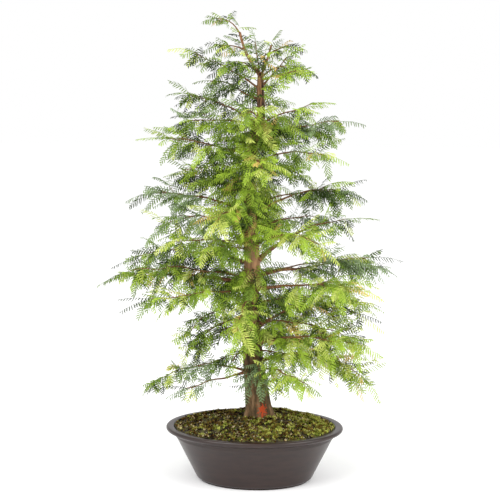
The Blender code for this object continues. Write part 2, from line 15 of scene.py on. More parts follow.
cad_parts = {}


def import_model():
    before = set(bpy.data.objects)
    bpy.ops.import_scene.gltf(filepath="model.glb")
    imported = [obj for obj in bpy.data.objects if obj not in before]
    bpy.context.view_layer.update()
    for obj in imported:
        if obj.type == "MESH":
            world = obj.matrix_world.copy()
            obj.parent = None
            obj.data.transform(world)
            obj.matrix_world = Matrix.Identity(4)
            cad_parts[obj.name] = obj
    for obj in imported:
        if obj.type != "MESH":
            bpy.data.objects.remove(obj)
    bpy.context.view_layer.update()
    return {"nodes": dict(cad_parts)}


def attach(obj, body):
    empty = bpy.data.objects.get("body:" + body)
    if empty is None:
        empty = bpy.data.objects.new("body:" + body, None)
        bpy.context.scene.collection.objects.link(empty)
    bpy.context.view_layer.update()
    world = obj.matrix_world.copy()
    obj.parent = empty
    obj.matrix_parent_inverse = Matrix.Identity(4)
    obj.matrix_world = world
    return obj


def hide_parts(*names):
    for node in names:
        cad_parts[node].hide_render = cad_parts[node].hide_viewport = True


# ---- the photograph's view
CAMERA_BEARING = 6.0  # degrees right of the front
CAMERA_DISTANCE = 2.80
CAMERA_HEIGHT = 0.856
CAMERA_PITCH = 9.14  # degrees down
FOCAL_PIXELS = 1648.0  # of a frame 500 pixels wide
YAW_PIXELS = 4.5  # left of the pot's middle
FRAME_PIXELS = 500
SENSOR = 36.0

# ---- the model's own sizes
GAP = 0.0003
POT_LENGTH = 0.310
POT_DEPTH = 0.240
POT_HEIGHT = 0.095
POT_WALL = 0.0045
POT_FOOT = 0.096
POT_FOOT_HEIGHT = 0.0025
POT_HEEL = 0.1035
POT_HEEL_ROUND = 0.0075
POT_SHOULDER = 0.1385
POT_SHOULDER_HEIGHT = 0.0785
POT_MOUTH = 0.141
POT_LIP_ROUND = 0.0035
POT_LIP_TURN = (88, -62, 12)  # from and to in degrees, and steps
POT_HEEL_TURN = (-14, -90, 9)
POT_RIM_ROUND = 0.002  # inside the lip
POT_RIM_TURN = (170, 95, 4)
POT_COVE = (0.005, 0.001)  # its middle, out and up from the shoulder
POT_COVE_ROUND = 0.0042
POT_COVE_TURN = (118, 196, 7)
POT_WALL_TOP = (0.0014, 0.003)  # in and down from the shoulder
POT_BEVEL = 0.0004
POT_FOOT_TAPER = 0.0006
POT_CENTRE = 0.0001  # of the underside, from the axis
POT_INNER_FOOT = 0.070  # of the wall that shows inside
POT_SIDES = 160
POT_SHARP = 50  # degrees
SOIL_EDGE_HEIGHT = 0.0895
SOIL_CREST_HEIGHT = 0.1067
SOIL_PAD = 0.040
SOIL_FALL = (2.2, 0.75)
TRUNK = (  # height, centre x, centre y, radius
    (0.107, 0.0051, 0.0300, 0.0222),
    (0.125, 0.0035, 0.0292, 0.0207),
    (0.151, 0.0010, 0.0280, 0.0197),
    (0.200, -0.0043, 0.0255, 0.0176),
    (0.250, -0.0076, 0.0235, 0.0158),
    (0.305, -0.0092, 0.0220, 0.0145),
    (0.383, -0.0059, 0.0190, 0.0132),
    (0.441, -0.0085, 0.0170, 0.0113),
    (0.492, -0.0090, 0.0150, 0.0102),
    (0.539, -0.0081, 0.0130, 0.0091),
    (0.586, -0.0035, 0.0120, 0.0080),
    (0.635, 0.0094, 0.0100, 0.0068),
    (0.680, 0.0092, 0.0085, 0.0056),
    (0.7085, 0.0099, 0.0080, 0.0048),
)
FLARE = 0.30
FLARE_HEIGHT = 0.030
FLARE_LOBES = 5
FLARE_HOLLOW = 0.38
FLARE_FADE = 1.6
FLARE_TURN = 0.4
Leader = namedtuple("Leader", "name offset bearing length rise droop radius")
LEADERS = (
    Leader("leader_left", 0.0023, 182.0, 0.087, 48.0, -36.0, 0.0022),
    Leader("leader_right", 0.0021, 8.0, 0.055, 66.0, -12.0, 0.0018),
)
LEADER_SWELL = (1.6, 1.3, 0.95)  # of its radius: inside the trunk, at the foot and at the cut
LEADER_CUT = 14  # steps up to where its wood was cut off
LEADER_STEP = 0.0066  # between its sprays
LEADER_SPRAY = (0.40, 0.72)  # of the longest spray
LEADER_LESS = 0.45  # how much shorter they get towards its tip
LEADER_TIP = (70, 30, 0.28)  # the last spray's rise, droop and share of the longest
LEADER_SUNK = 0.006
LEADER_SIDES = 10
LEADER_ROUGH = (0.2, 0.15)  # fibres and knots

# as in the model: height on the host, bearing, length, slope at the foot and slope lost, half
# width of the foliage and thickness at the foot, and last the share that is bare limb and the
# host. For the looks only: the needles' tone, the share bare of sprays, and the twigs' reach.
Row = namedtuple("Row", "name height bearing length rise droop spread girth tone bare reach limb host",
                 defaults=(0, "trunk"))
ROWS = [Row(*numbers) for numbers in (
    ("top_1", 0.779, 186, 0.054, 58, 70, 0.032, 0.0024, "mid", 0.35, 0.6, 0, "leader_left"),
    ("top_2", 0.748, 160, 0.064, 22, 40, 0.044, 0.0026, "mid", 0.1, 0.9, 0, "leader_left"),
    ("top_3", 0.742, 20, 0.05, 34, 45, 0.04, 0.0026, "mid", 0.05, 0.7, 0, "leader_right"),
    ("left_1", 0.685, 196, 0.142, 36, 18, 0.054, 0.0034, "deep", 0.1, 0.75),
    ("left_2", 0.625, 156, 0.162, 26, 19, 0.066, 0.004, "deep", 0.2, 0.85),
    ("left_3", 0.568, 202, 0.164, 20, 14, 0.07, 0.004, "mid", 0.05, 1.15),
    ("left_4", 0.507, 150, 0.154, 14, 14, 0.072, 0.0046, "deep", 0.1, 1.05, 0.26),
    ("left_5", 0.473, 184, 0.177, 22, 25, 0.076, 0.0048, "cool", 0.35, 1.15, 0.28),
    ("left_6", 0.437, 212, 0.175, 36, 63, 0.07, 0.004, "cool", 0.05, 1.1),
    ("left_7", 0.38, 158, 0.242, 14, 34, 0.088, 0.0064, "deep", 0.05, 0.9, 0.26),
    ("left_8", 0.344, 182, 0.226, 12, 20, 0.092, 0.0074, "mid", 0.05, 0.9, 0.28),
    ("left_9", 0.333, 216, 0.208, 4, 9, 0.082, 0.0044, "fresh", 0.1, 0.8),
    ("left_10", 0.281, 182, 0.122, -4, 58, 0.07, 0.0056, "mid", 0.15, 0.75, 0.28),
    ("left_11", 0.186, 170, 0.196, 14, 56, 0.05, 0.004, "mid", 0.5, 0.8, 0.48),
    ("left_12", 0.185, 205, 0.126, -12, -6, 0.056, 0.0046, "cool", 0.45, 0.7, 0.34),
    ("right_1", 0.69, 25, 0.076, 45, 2, 0.048, 0.003, "mid", 0.2, 0.85),
    ("right_2", 0.697, 328, 0.088, 18, 12, 0.05, 0.003, "fresh", 0.15, 0.95),
    ("right_3", 0.625, 345, 0.106, 24, 8, 0.06, 0.0036, "fresh", 0.15, 0.9),
    ("right_4", 0.601, 18, 0.161, 14, 12, 0.066, 0.0044, "cool", 0.15, 0.75, 0.28),
    ("right_5", 0.551, 338, 0.153, 30, 43, 0.066, 0.004, "mid", 0.3, 1.1),
    ("right_6", 0.467, 14, 0.173, 36, 49, 0.074, 0.0052, "mid", 0.45, 0.95, 0.3),
    ("right_7", 0.413, 318, 0.185, 32, 58, 0.07, 0.0042, "bright", 0.1, 1.05),
    ("right_8", 0.389, 350, 0.194, 44, 40, 0.078, 0.0078, "mid", 0.45, 0.6, 0.38),
    ("right_9", 0.358, 10, 0.218, 12, 8, 0.082, 0.0058, "cool", 0.25, 1.05, 0.34),
    ("right_10", 0.336, 336, 0.206, 12, 13, 0.084, 0.0062, "bright", 0.2, 1.1, 0.26),
    ("right_11", 0.269, 10, 0.202, 36, 68, 0.08, 0.0056, "mid", 0.15, 0.6, 0.28),
    ("right_12", 0.24, 336, 0.208, 18, 29, 0.08, 0.0066, "bright", 0.05, 1.15, 0.26),
    ("right_13", 0.207, 353, 0.205, 22, 64, 0.079, 0.0062, "bright", 0.2, 1.0, 0.3),
    ("right_14", 0.197, 306, 0.175, 6, 10, 0.056, 0.0036, "bright", 0.1, 0.9),
    ("front_1", 0.632, 262, 0.094, 26, 40, 0.054, 0.003, "bright", 0.35, 1.15),
    ("front_2", 0.556, 286, 0.122, 18, 40, 0.06, 0.0034, "bright", 0.25, 0.9),
    ("front_3", 0.478, 252, 0.144, 14, 38, 0.066, 0.0036, "bright", 0.1, 0.95),
    ("front_4", 0.318, 268, 0.152, 4, 36, 0.068, 0.0036, "bright", 0.25, 0.8),
    ("front_5", 0.203, 262, 0.062, -20, 56, 0.036, 0.0028, "blue", 0.05, 0.75),
    ("back_1", 0.655, 100, 0.1, 30, 26, 0.056, 0.003, "mid", 0.05, 1.05),
    ("back_2", 0.578, 74, 0.134, 22, 24, 0.066, 0.0036, "mid", 0.1, 0.7),
    ("back_3", 0.5, 112, 0.158, 18, 28, 0.074, 0.004, "deep", 0.15, 0.85),
    ("back_4", 0.42, 80, 0.182, 18, 32, 0.08, 0.0044, "mid", 0.2, 1.05),
    ("back_5", 0.325, 104, 0.197, 12, 28, 0.086, 0.0046, "deep", 0.4, 1.2),
    ("back_6", 0.24, 76, 0.178, 12, 34, 0.08, 0.0042, "mid", 0.15, 1.05),
)]
# lesser shoots between the rows, which the model leaves out, each named after its mass. They, and
# bare and reach above, were fitted to the photo's cover and rounded to plain steps.
SPRIGS = [Row(*numbers) for numbers in (
    ("left_2", 0.62, 190, 0.14, 15, 30, 0.075, 0.0028, "deep", 0.2, 1.05),
    ("left_1", 0.665, 170, 0.1, 30, 25, 0.04, 0.0026, "deep", 0.25, 1.05),
    ("left_3", 0.54, 150, 0.155, 10, 30, 0.05, 0.0028, "mid", 0.05, 0.85),
    ("left_7", 0.415, 220, 0.16, 15, 20, 0.065, 0.003, "fresh", 0.15, 1.05),
    ("left_7", 0.405, 230, 0.08, 15, 5, 0.065, 0.0026, "fresh", 0.05, 1.0),
    ("left_8", 0.355, 190, 0.22, 15, 25, 0.06, 0.0036, "mid", 0.05, 0.95),
    ("left_10", 0.31, 205, 0.13, -5, 45, 0.03, 0.003, "mid", 0.1, 1.15),
    ("left_10", 0.27, 180, 0.11, -10, 50, 0.05, 0.0028, "mid", 0.15, 0.8),
    ("left_12", 0.22, 190, 0.105, -20, -10, 0.055, 0.0026, "cool", 0.2, 0.9),
    ("top_2", 0.705, 230, 0.09, 55, 90, 0.035, 0.0022, "mid", 0.1, 0.8),
    ("top_2", 0.705, 130, 0.065, 75, -10, 0.03, 0.0022, "cool", 0.05, 0.8),
    ("top_3", 0.705, 290, 0.055, 60, 10, 0.03, 0.0022, "mid", 0.1, 1.1),
    ("right_1", 0.705, 15, 0.085, 35, 60, 0.03, 0.0026, "mid", 0.4, 0.8),
    ("right_4", 0.61, 25, 0.13, 5, 20, 0.04, 0.0028, "mid", 0.25, 0.8),
    ("right_5", 0.545, 40, 0.12, 10, 50, 0.045, 0.0028, "mid", 0.2, 0.85),
    ("right_7", 0.48, 20, 0.185, 25, 45, 0.045, 0.003, "cool", 0.3, 0.75),
    ("right_7", 0.44, 25, 0.14, 25, 45, 0.06, 0.003, "cool", 0.4, 0.85),
    ("right_9", 0.36, 15, 0.23, 15, 30, 0.045, 0.0034, "cool", 0.45, 0.95),
    ("right_10", 0.31, 15, 0.2, 10, 25, 0.06, 0.003, "bright", 0.1, 1.1),
    ("right_11", 0.275, 350, 0.2, 10, 40, 0.075, 0.0032, "bright", 0.1, 0.95),
    ("right_12", 0.235, 245, 0.065, -10, 30, 0.045, 0.0028, "mid", 0.1, 1.0),
    ("right_13", 0.245, 355, 0.205, 10, 70, 0.05, 0.0032, "bright", 0.05, 0.9),
    ("right_13", 0.225, 330, 0.09, 10, 25, 0.06, 0.0028, "bright", 0.05, 1.05),
    ("right_14", 0.175, 310, 0.06, 10, 40, 0.04, 0.0026, "cool", 0.05, 0.9),
    ("front_5", 0.215, 290, 0.075, -15, 55, 0.035, 0.0026, "blue", 0.05, 1.1),
    ("back_2", 0.615, 80, 0.075, 15, 35, 0.055, 0.0028, "mid", 0.15, 0.9),
    ("back_3", 0.565, 100, 0.085, 25, 20, 0.07, 0.0028, "mid", 0.1, 0.75),
    ("back_4", 0.475, 80, 0.115, 25, 10, 0.06, 0.003, "deep", 0.05, 1.1),
    ("back_5", 0.41, 85, 0.2, 30, 30, 0.05, 0.0032, "mid", 0.05, 1.0),
    ("back_6", 0.295, 75, 0.185, 5, 30, 0.075, 0.0032, "mid", 0.05, 0.85),
)]
ROW_STEPS = 16
LINE_STEPS = 32  # finer than in the model
TIP_RADIUS = 0.0014
TAPER = 0.85
FOOT_RIM = 12
FOOT_OUT = 0.05
FORK_AT_FOOT = 62.0
FORK_AT_TIP = 42.0
REACH_LEAST = 0.72
REACH_SWELL = 0.40
STEM_SLOPE = 0.6
BLADE_SHARE = 0.95  # the model's last blade, of the row's spread

# ---- finer wood
LIMB_SIDES = 12
LIMB_RINGS_LEAST = 6
LIMB_ROUGH = (0.22, 0.20)  # fibres and knots
LIMB_INSIDE = 2  # rings inside its mass
STEM_SIDES = 6
STEM_RINGS = 3  # it has one in three
KNOT_CELLS = 90.0  # of noise, for each metre
FIBRE_CELLS = (2.4, 0.22)  # of noise, for each radian round a limb and each ring
FIBRE_APART = 50  # between one limb's fibres and the next
LIMB_STEP = 0.0022  # between the rings of a bough
LIMB_SUNK = 0.004  # inside its host
COLLAR = 0.45  # swelling at a limb's foot
COLLAR_LENGTH = 0.006
KINK = 0.0056  # how far a limb strays
KINKS = 26.0  # strays for each metre
KINK_EASE = 8  # steps to full strays
KINK_APART = 40  # between one limb's strays and the next
KINK_UP = (0, 0, 7.3)  # layer of strays up or down
STEM_TIP = 0.0005  # its radius
STEM_THIN = 0.9  # power of its taper
TWIG_RADII = (0.00070, 0.00035)
TWIG_SIDES = 4
TWIG_STEPS = 4
TWIG_BEND = (4, 16)  # degrees
TWIG_LEAST = 0.003  # of wood before its spray

# ---- sprays: flat feathers of needles in two ranks
TWIG_STEP = 0.0086  # between a stem's side twigs
TWIGS_LEAST = 4
TWIG_SCATTER = 0.3  # of that step
TWIG_SWELL = (0.15, 0.7)  # start and length of the part of a half wave that reach follows
TWIG_FORK = (0.6, 1.25)  # of the model's fork
TWIG_STEEP = 0.35  # share of reach that the steepest twigs lose
TWIG_REACH = (0.55, 1.12)  # of the model's reach
TWIG_POINTED = 0.45  # share of reach at a row's tip
TWIG_POINT = 0.45  # the share of a row that this point takes up
TWIG_SLOPES = (-62, 44, -8)  # off the stem's slope: least, most, likeliest
FILL_STEP = 0.0074  # between the short sprays on a stem itself
FILL_LENGTH = (0.40, 0.78)  # of the longest spray
FILL_FULL = 0.066  # spread of a row where they have this length in full
FILL_TIPWARD = 0.5  # their tints are dealt as if further in
SPRAY_LENGTH = 0.080  # the longest
SPRAY_LEAST = 0.024
END_SPRAY = 0.75  # the spray at a row's end, of the model's blade
END_BEYOND = 0.45  # of that blade, beyond the row's end
TWIG_SPRAY = (0.62, 0.92)  # the spray at a twig's end, of the twig's reach
SIDE_STEP = 0.0092  # between a twig's side sprays
SIDE_FIRST = 0.6  # of that step
SIDE_LAST = 0.98  # of the twig's wood
SIDE_MORE = 1.3  # side sprays more than steps
SIDE_LENGTH = (0.55, 0.95)  # of the spray at the twig's end
SIDE_TIPWARD = 0.7
PAIR_STEP = 0.0048  # between pairs of needles
PAIRS_LEAST = 5
PAIR_SHIFT = 0.25  # of that step, forwards on one side, back on the other
NEEDLE_LENGTH = 0.0142
NEEDLE_WIDTH = 0.0018
NEEDLE_SHORT = (0.66, 0.34)  # of that length on the least spray, and added on the longest
NEEDLE_UNEVEN = (0.74, 1.10)  # of that length
NEEDLE_ANGLES = (68, 36)  # to the rib, at a spray's foot and tip
NEEDLE_TURN = 7  # degrees off that, at most
NEEDLE_TILT = 9  # up or down
NEEDLE_ROLL = 28  # about its own length
NEEDLE_DROOP = (4, 38)  # below their spray
NEEDLE_SAG = 0.14  # of a needle's length, at its tip
NEEDLE_OUTLINE = np.array([(0.0, 0.0), (0.22, 0.5), (0.22, -0.5), (0.72, 0.42), (0.72, -0.42), (1.0, 0.0)])
NEEDLE_FACES = np.array([(0, 2, 1), (1, 2, 3), (2, 4, 3), (3, 4, 5)])
SPRAY_SWELL = ((0.0, 0.12, 0.35, 0.65, 0.88, 1.0), (0.55, 0.88, 1.0, 0.92, 0.62, 0.28))
# how a spray stands: degrees off its stem's bearing, slope, slope lost and roll
Habit = namedtuple("Habit", "turn rise droop roll")
END_HABIT = Habit((-12, 12), None, (15, 34), (-30, 30))
FILL_HABIT = Habit((-95, 95), (-40, 50), (10, 45), (-60, 60))
TWIG_HABIT = Habit(None, None, (18, 50), (-14, 66))
SIDE_HABIT = Habit((34, 62), (-18, 14), (15, 45), (-14, 66))
LEADER_HABIT = Habit((-25, 25), (0, 45), (10, 40), (-35, 35))
TUFT_HABIT = Habit((-50, 50), (-45, 10), (30, 70), (-50, 50))
RIB_RADIUS = 0.00045
RIB_THIN = 0.5  # of that radius, at its tip
RIB_SIDES = 3
RIB_RINGS = 4  # pairs for each ring of a rib
RIB_BEYOND = 0.002
SEED = 7
ROW_SEED = 7000
STEEP = 0.05  # nearer to upright, a line has no level side

# ---- shoots on the trunk itself, between the boughs: lowest and highest place, step, least and
# most reach, least and most bearing
TRUNK_SHOOTS = (
    (0.248, 0.290, 0.0042, 0.045, 0.085, 0, 360),
    (0.314, 0.376, 0.0034, 0.045, 0.095, 0, 360),
    (0.424, 0.500, 0.0034, 0.045, 0.110, 70, 300),
    (0.424, 0.500, 0.0090, 0.035, 0.055, -50, 60),
    (0.500, 0.628, 0.0026, 0.045, 0.115, 0, 360),
    (0.628, 0.700, 0.0060, 0.040, 0.066, 0, 360),
)
# sprays that hang against the trunk: lowest and highest place, and step
TRUNK_TUFTS = ((0.246, 0.290, 0.0014), (0.312, 0.378, 0.0012), (0.418, 0.632, 0.0013))
NEXT_ROUND = 137.5  # degrees from one shoot to the next
ROUND_SCATTER = 0.05  # of a turn
SHOOT_TONES = ("fresh", "mid", "fresh")
SHOOT_RISE = (-14, 42)
SHOOT_TIPWARD = 0.5
SHOOT_SUNK = 0.9  # of the trunk's radius, where a shoot springs from
TUFT_LENGTH = (0.028, 0.052)
TUFT_TIPWARD = 0.6

# ---- colours as they show on screen, 0 to 255
FULL = 255.0
GAMMA = 2.2
TINTS = {
    "fresh": (145, 172, 55),
    "mid": (102, 127, 45),
    # deep shade: a dark green that stands in for the shade inside the crown, painted shade
    "deep": (42, 58, 14),
    "cool": (122, 142, 98),
    "lime": (182, 194, 94),
    "amber": (200, 170, 92),
}
# how often each tint is dealt to a spray, by the row's tone; a deep shade tone deals more of the painted
# shade tint
TONES = {
    "bright": {"fresh": 42, "mid": 15, "deep": 7, "lime": 33, "amber": 4},
    "fresh": {"fresh": 50, "mid": 25, "deep": 9, "lime": 15, "amber": 2},
    "mid": {"fresh": 28, "mid": 38, "deep": 24, "lime": 9, "amber": 1},
    "deep": {"fresh": 16, "mid": 38, "deep": 34, "cool": 8, "lime": 4},
    "cool": {"cool": 60, "mid": 20, "deep": 12, "lime": 8},
    "blue": {"cool": 88, "deep": 12},
}
# how these change towards a row's tip: the factor inside, and what the tip adds; the painted shade tint is
# dealt more inside the crown
TIPWARD = {"lime": (0.5, 0.9), "deep": (1.6, -1.2)}
NEEDLE_FINISH = (0.6, 0.25)  # roughness and shine
TWIG_FINISH = ((114, 80, 48), 0.8)
# from a noise's low values to its high ones
BARK_COLOURS = ((0.36, (36, 25, 18)), (0.46, (96, 68, 47)), (0.55, (146, 106, 75)), (0.66, (190, 146, 108)))
LIMB_COLOURS = ((0.35, (86, 58, 40)), (0.55, (138, 96, 66)), (0.7, (178, 132, 96)))
POT_COLOURS = ((0.38, (36, 22, 18)), (0.62, (46, 30, 25)))
SOIL_COLOURS = ((0.36, (34, 26, 18)), (0.48, (58, 48, 28)), (0.56, (84, 82, 38)), (0.7, (104, 108, 46)))
# colours, noise cells for each metre and their stretch, roughness, and the relief's strength,
# depth and how much finer it is
BARK = (BARK_COLOURS, 125.0, (1.0, 1.0, 0.20), 0.88, 0.6)
LIMB = (LIMB_COLOURS, 160.0, (1.0, 1.0, 1.0), 0.85)
POT = (POT_COLOURS, 30.0, (1.0, 1.0, 5.0), 0.30, 0.12, 0.0004, 12.0)
SOIL = (SOIL_COLOURS, 120.0, (1.0, 1.0, 1.0), 0.95, 0.8, 0.002)
PATTERN_NOISE = {"Detail": 6.0, "Roughness": 0.65}
GRAIN_NOISE = {"Detail": 4.0}

# ---- bark
BARK_SIDES = 108
BARK_RINGS = 340
# noise cells for each radian round the trunk and each metre up
BARK_TWIST = (1.5, 9.0)
BARK_BROAD = (4.2, 16.0)
BARK_RIDGES = (9.0, 24.0)
BARK_FIBRES = (26.0, 60.0)
BARK_TWIST_MOST = 0.5  # radians
BARK_BROAD_LAYER = 3.0  # of the noise
BARK_SHARE = 0.6  # of the strips' depth, for ridges and broad strips each
BARK_STRIP_DEPTH = 0.0013
BARK_FIBRE_DEPTH = 0.00045
BARK_THIN = (0.45, 0.55)  # relief of a thin trunk, and added where it is widest
BARK_BELOW = 0.004  # into the soil
BARK_DOME = 0.35  # height of its cap, of the radius there
# spots of colour: full nearer than inner, gone beyond outer, ragged, with height counted in part
Spot = namedtuple("Spot", "wash centre inner outer strength ragged squeeze")
SPOT_CELLS = 320.0
BARK_SPOTS = (
    Spot((62, 60, 32), (0.0, 0.027, 0.150), 0.060, 0.150, 0.55, 0.020, 1.0),
    Spot((206, 158, 116), (-0.006, 0.018, 0.400), 0.030, 0.085, 0.40, 0.010, 1.0),
    Spot((196, 72, 28), (0.0145, 0.0070, 0.1205), 0.0212, 0.0228, 0.88, 0.030, 0.70),
)

# ---- moss and grit
MOSS_RINGS = 64
MOSS_SIDES = 176
MOSS_CUSHION = 0.003
# noise over the soil: cells for each metre along x and y, and the noise's own layer
MOSS_BROAD = (42.0, 42.0, 1.7)
MOSS_FINE = (110.0, 110.0, 5.1)
MOSS_MIX = (0.65, 0.5)  # of these two
LUSH_BROAD = (22.0, 30.0, 2.2)
LUSH_FINE = (130.0, 130.0, 4.4)
LUSH_FINE_MIX = 1.5
SOIL_FINE = (420.0, 420.0, 9.0)
SOIL_FINE_HEIGHT = 0.0007
SOIL_HOLLOW = -0.35  # cover below this is level
SOIL_UNDER_LIP = 0.0012  # how far it goes into the wall
SCATTER_CLEAR = 0.001  # of the wall
MOSS_TUFTS = 8200
MOSS_COVER = (-0.42, -0.02)  # less cover leaves a tuft out
MOSS_BLADES = 6
MOSS_BLADE_WIDTHS = (0.0005, 0.0010)
MOSS_TALL = (0.0018, 0.0046)
MOSS_TALLER = (0.8, 0.4)  # of that on bare soil, and added where lush
MOSS_LEAN = (0.2, 1.0)
MOSS_FINISH = (0.9, 0.1)  # roughness and shine
MOSS_SUNK = 0.0006
MOSS_APART = 0.0005
MOSS_LUSH = (0.22, 4.8)  # in the middle, and added for each metre to the right
MOSS_BARE = (-0.034, 0.002, 0.030, 0.75)  # a barer place: its middle, size and loss
MOSS_TINTS = {  # colour, and how often it falls on bare and on lush places
    "green": ((108, 124, 42), 0.5, 2.2),
    "bright": ((212, 216, 108), 0.05, 3.0),
    "olive": ((134, 114, 52), 1.6, 3.0),
    "brown": ((96, 66, 36), 2.6, 0.4),
    # dark: partly dark soil, partly painted shade for the gaps between the tufts
    "dark": ((20, 15, 9), 5.6, 1.0),
    "straw": ((236, 218, 168), 0.45, 0.45),
}
GRIT_STONES = 300
GRIT_SIZE = (0.0007, 0.0017)
GRIT_SHAPE = ((0.7, 1.4), (0.6, 1.0), (0.5, 0.8))
GRIT_TILT = 0.5  # radians
GRIT_OUT = 0.5  # of its size, above the soil
GRIT_TINTS = {  # colour, roughness and how often
    "pale": ((196, 186, 166), 0.8, 2),
    "rust": ((150, 96, 58), 0.85, 3),
    "dark": ((58, 46, 36), 0.9, 4),
}

# ---- stage
LAMPS = (  # name, place, size and power
    ("key", (-1.6, -2.2, 2.6), 2.6, 72.0),
    ("fill", (2.4, -1.4, 2.0), 2.8, 60.0),
)
LAMP_AIM = 0.40  # height
FLOOR_FINISH = ((254, 254, 254), 1.0, 0.0)
FLOOR_SIZE = 6.0  # half its side
FLOOR_DROP = 0.0002  # below the pot's underside


# ---- helpers

def add_object(name, data):
    item = bpy.data.objects.new(name, data)
    bpy.context.scene.collection.objects.link(item)
    return item


def linear(colour):
    return tuple((value / FULL) ** GAMMA for value in colour) + (1.0,)


def direction(bearing, rise):
    heading, slope = radians(bearing), radians(rise)
    level = cos(slope)
    return np.array([cos(heading) * level, sin(heading) * level, sin(slope)])


def walk(start, bearing, rise, droop, length, steps):
    """Points along a shoot whose slope falls evenly from rise to rise - droop."""
    points = [np.array(start, dtype=float)]
    for i in range(steps):
        step = direction(bearing, rise - droop * (i + 0.5) / steps)
        points.append(points[-1] + step * length / steps)
    return points


def point_at(points, share):
    place = share * (len(points) - 1)
    i = min(max(int(place), 0), len(points) - 2)
    return points[i] + (points[i + 1] - points[i]) * (place - i)


def smooth_row(rows, height):
    """A row of a table at any height, on a smooth curve through the table's rows."""
    table = np.array(rows)
    slopes = np.gradient(table, table[:, 0], axis=0)
    i = int(np.clip(np.searchsorted(table[:, 0], height) - 1, 0, len(table) - 2))
    span = table[i + 1, 0] - table[i, 0]
    u = (height - table[i, 0]) / span
    return (table[i] * (2 * u ** 3 - 3 * u ** 2 + 1) + slopes[i] * span * (u ** 3 - 2 * u ** 2 + u)
            + table[i + 1] * (3 * u ** 2 - 2 * u ** 3) + slopes[i + 1] * span * (u ** 3 - u ** 2))


class Pile:
    """Points and triangles of many small things that become one mesh."""

    def __init__(self):
        self.points = []
        self.faces = []
        self.count = 0

    def add(self, points, faces):
        self.points.append(points)
        self.faces.append(np.asarray(faces) + self.count)
        self.count += len(points)

    def piece(self, name, finish, smooth=False):
        points = np.concatenate(self.points).astype(np.float32)
        faces = np.concatenate(self.faces).astype(np.int32)
        mesh = bpy.data.meshes.new(name)
        mesh.vertices.add(len(points))
        mesh.vertices.foreach_set("co", points.ravel())
        mesh.loops.add(faces.size)
        mesh.loops.foreach_set("vertex_index", faces.ravel())
        mesh.polygons.add(len(faces))
        mesh.polygons.foreach_set("loop_start", np.arange(0, faces.size, 3, dtype=np.int32))
        mesh.update(calc_edges=True)
        mesh.validate()
        if smooth:
            mesh.shade_smooth()
        mesh.materials.append(finish)
        return add_object(name, mesh)


def whole(name, points, faces, finish):
    pile = Pile()
    pile.add(np.array(points), faces)
    return pile.piece(name, finish, smooth=True)


def grid_faces(rings, sides):
    """Triangles of a closed tube of rings, each with the same number of points."""
    ring, side = np.meshgrid(np.arange(rings - 1), np.arange(sides), indexing="ij")
    a = ring * sides + side
    b = ring * sides + (side + 1) % sides
    c, d = a + sides, b + sides
    quads = np.stack([a, b, d, a, d, c], axis=-1)
    return quads.reshape(-1, 3)


def fan(first, count, centre):
    """Triangles from a ring of points to one point."""
    return [(first + i, first + (i + 1) % count, centre) for i in range(count)]


def frames(line):
    """Unit vectors across and over a line of points."""
    along = np.gradient(line, axis=0)
    along /= np.linalg.norm(along, axis=1)[:, None]
    across = np.cross(along, [0.0, 0.0, 1.0])
    steep = np.linalg.norm(across, axis=1) < STEEP
    across[steep] = [1.0, 0.0, 0.0]
    across /= np.linalg.norm(across, axis=1)[:, None]
    return across, np.cross(across, along)


def add_tube(pile, line, radii, sides, bumps=0.0, lumps=0.0):
    """A tapering tube with a point at its end. Bumps are fine fibres, lumps are knots along it."""
    line, radii = np.asarray(line), np.asarray(radii)
    across, over = frames(line)
    turn = np.arange(sides) * tau / sides
    size = np.repeat(radii[:, None], sides, axis=1)
    if bumps or lumps:
        for i, point in enumerate(line):
            knot = noise.noise(Vector(point) * KNOT_CELLS)
            for j, angle in enumerate(turn):
                around, along = FIBRE_CELLS
                place = Vector((cos(angle) * around, sin(angle) * around, i * along))
                fibre = noise.noise(place + Vector(line[0]) * FIBRE_APART)
                size[i, j] *= 1 + lumps * knot + bumps * fibre
    points = (line[:, None, :] + size[..., None] * (
        across[:, None, :] * np.cos(turn)[None, :, None] + over[:, None, :] * np.sin(turn)[None, :, None]))
    points = points.reshape(-1, 3)
    end = line[-1] + (line[-1] - line[-2]) / np.linalg.norm(line[-1] - line[-2]) * radii[-1]
    cap = fan((len(line) - 1) * sides, sides, len(points))
    pile.add(np.vstack([points, end]), np.vstack([grid_faces(len(line), sides), cap]))


# ---- the rows' lines, by the model's rule

def leader_line(leader):
    top = smooth_row(TRUNK, TRUNK[-1][0])
    side = radians(leader.bearing)
    foot = (top[1] + leader.offset * cos(side), top[2] + leader.offset * sin(side), top[0] + GAP)
    return walk(foot, leader.bearing, leader.rise, leader.droop, leader.length, ROW_STEPS)


def host_at(host, height):
    if host == "trunk":
        _, x, y, _ = smooth_row(TRUNK, height)
        return np.array([x, y, height])
    line = np.array(leader_line(next(item for item in LEADERS if item.name == host)))
    return np.array([np.interp(height, line[:, 2], line[:, axis]) for axis in range(3)])


def slope_at(row, share):
    return row.rise - row.droop * share


def row_radius(row, share):
    foot = row.girth / 2
    return TIP_RADIUS + (foot - TIP_RADIUS) * (1 - share) ** TAPER


def end_blade(row):
    """Length of the blade that ends a row in the model."""
    return min(SPRAY_LENGTH, row.spread * BLADE_SHARE)


def stem_end(row):
    """Share of the row where its wood ends and its last spray starts."""
    return 1.0 - (END_SPRAY - END_BEYOND) * end_blade(row) / row.length


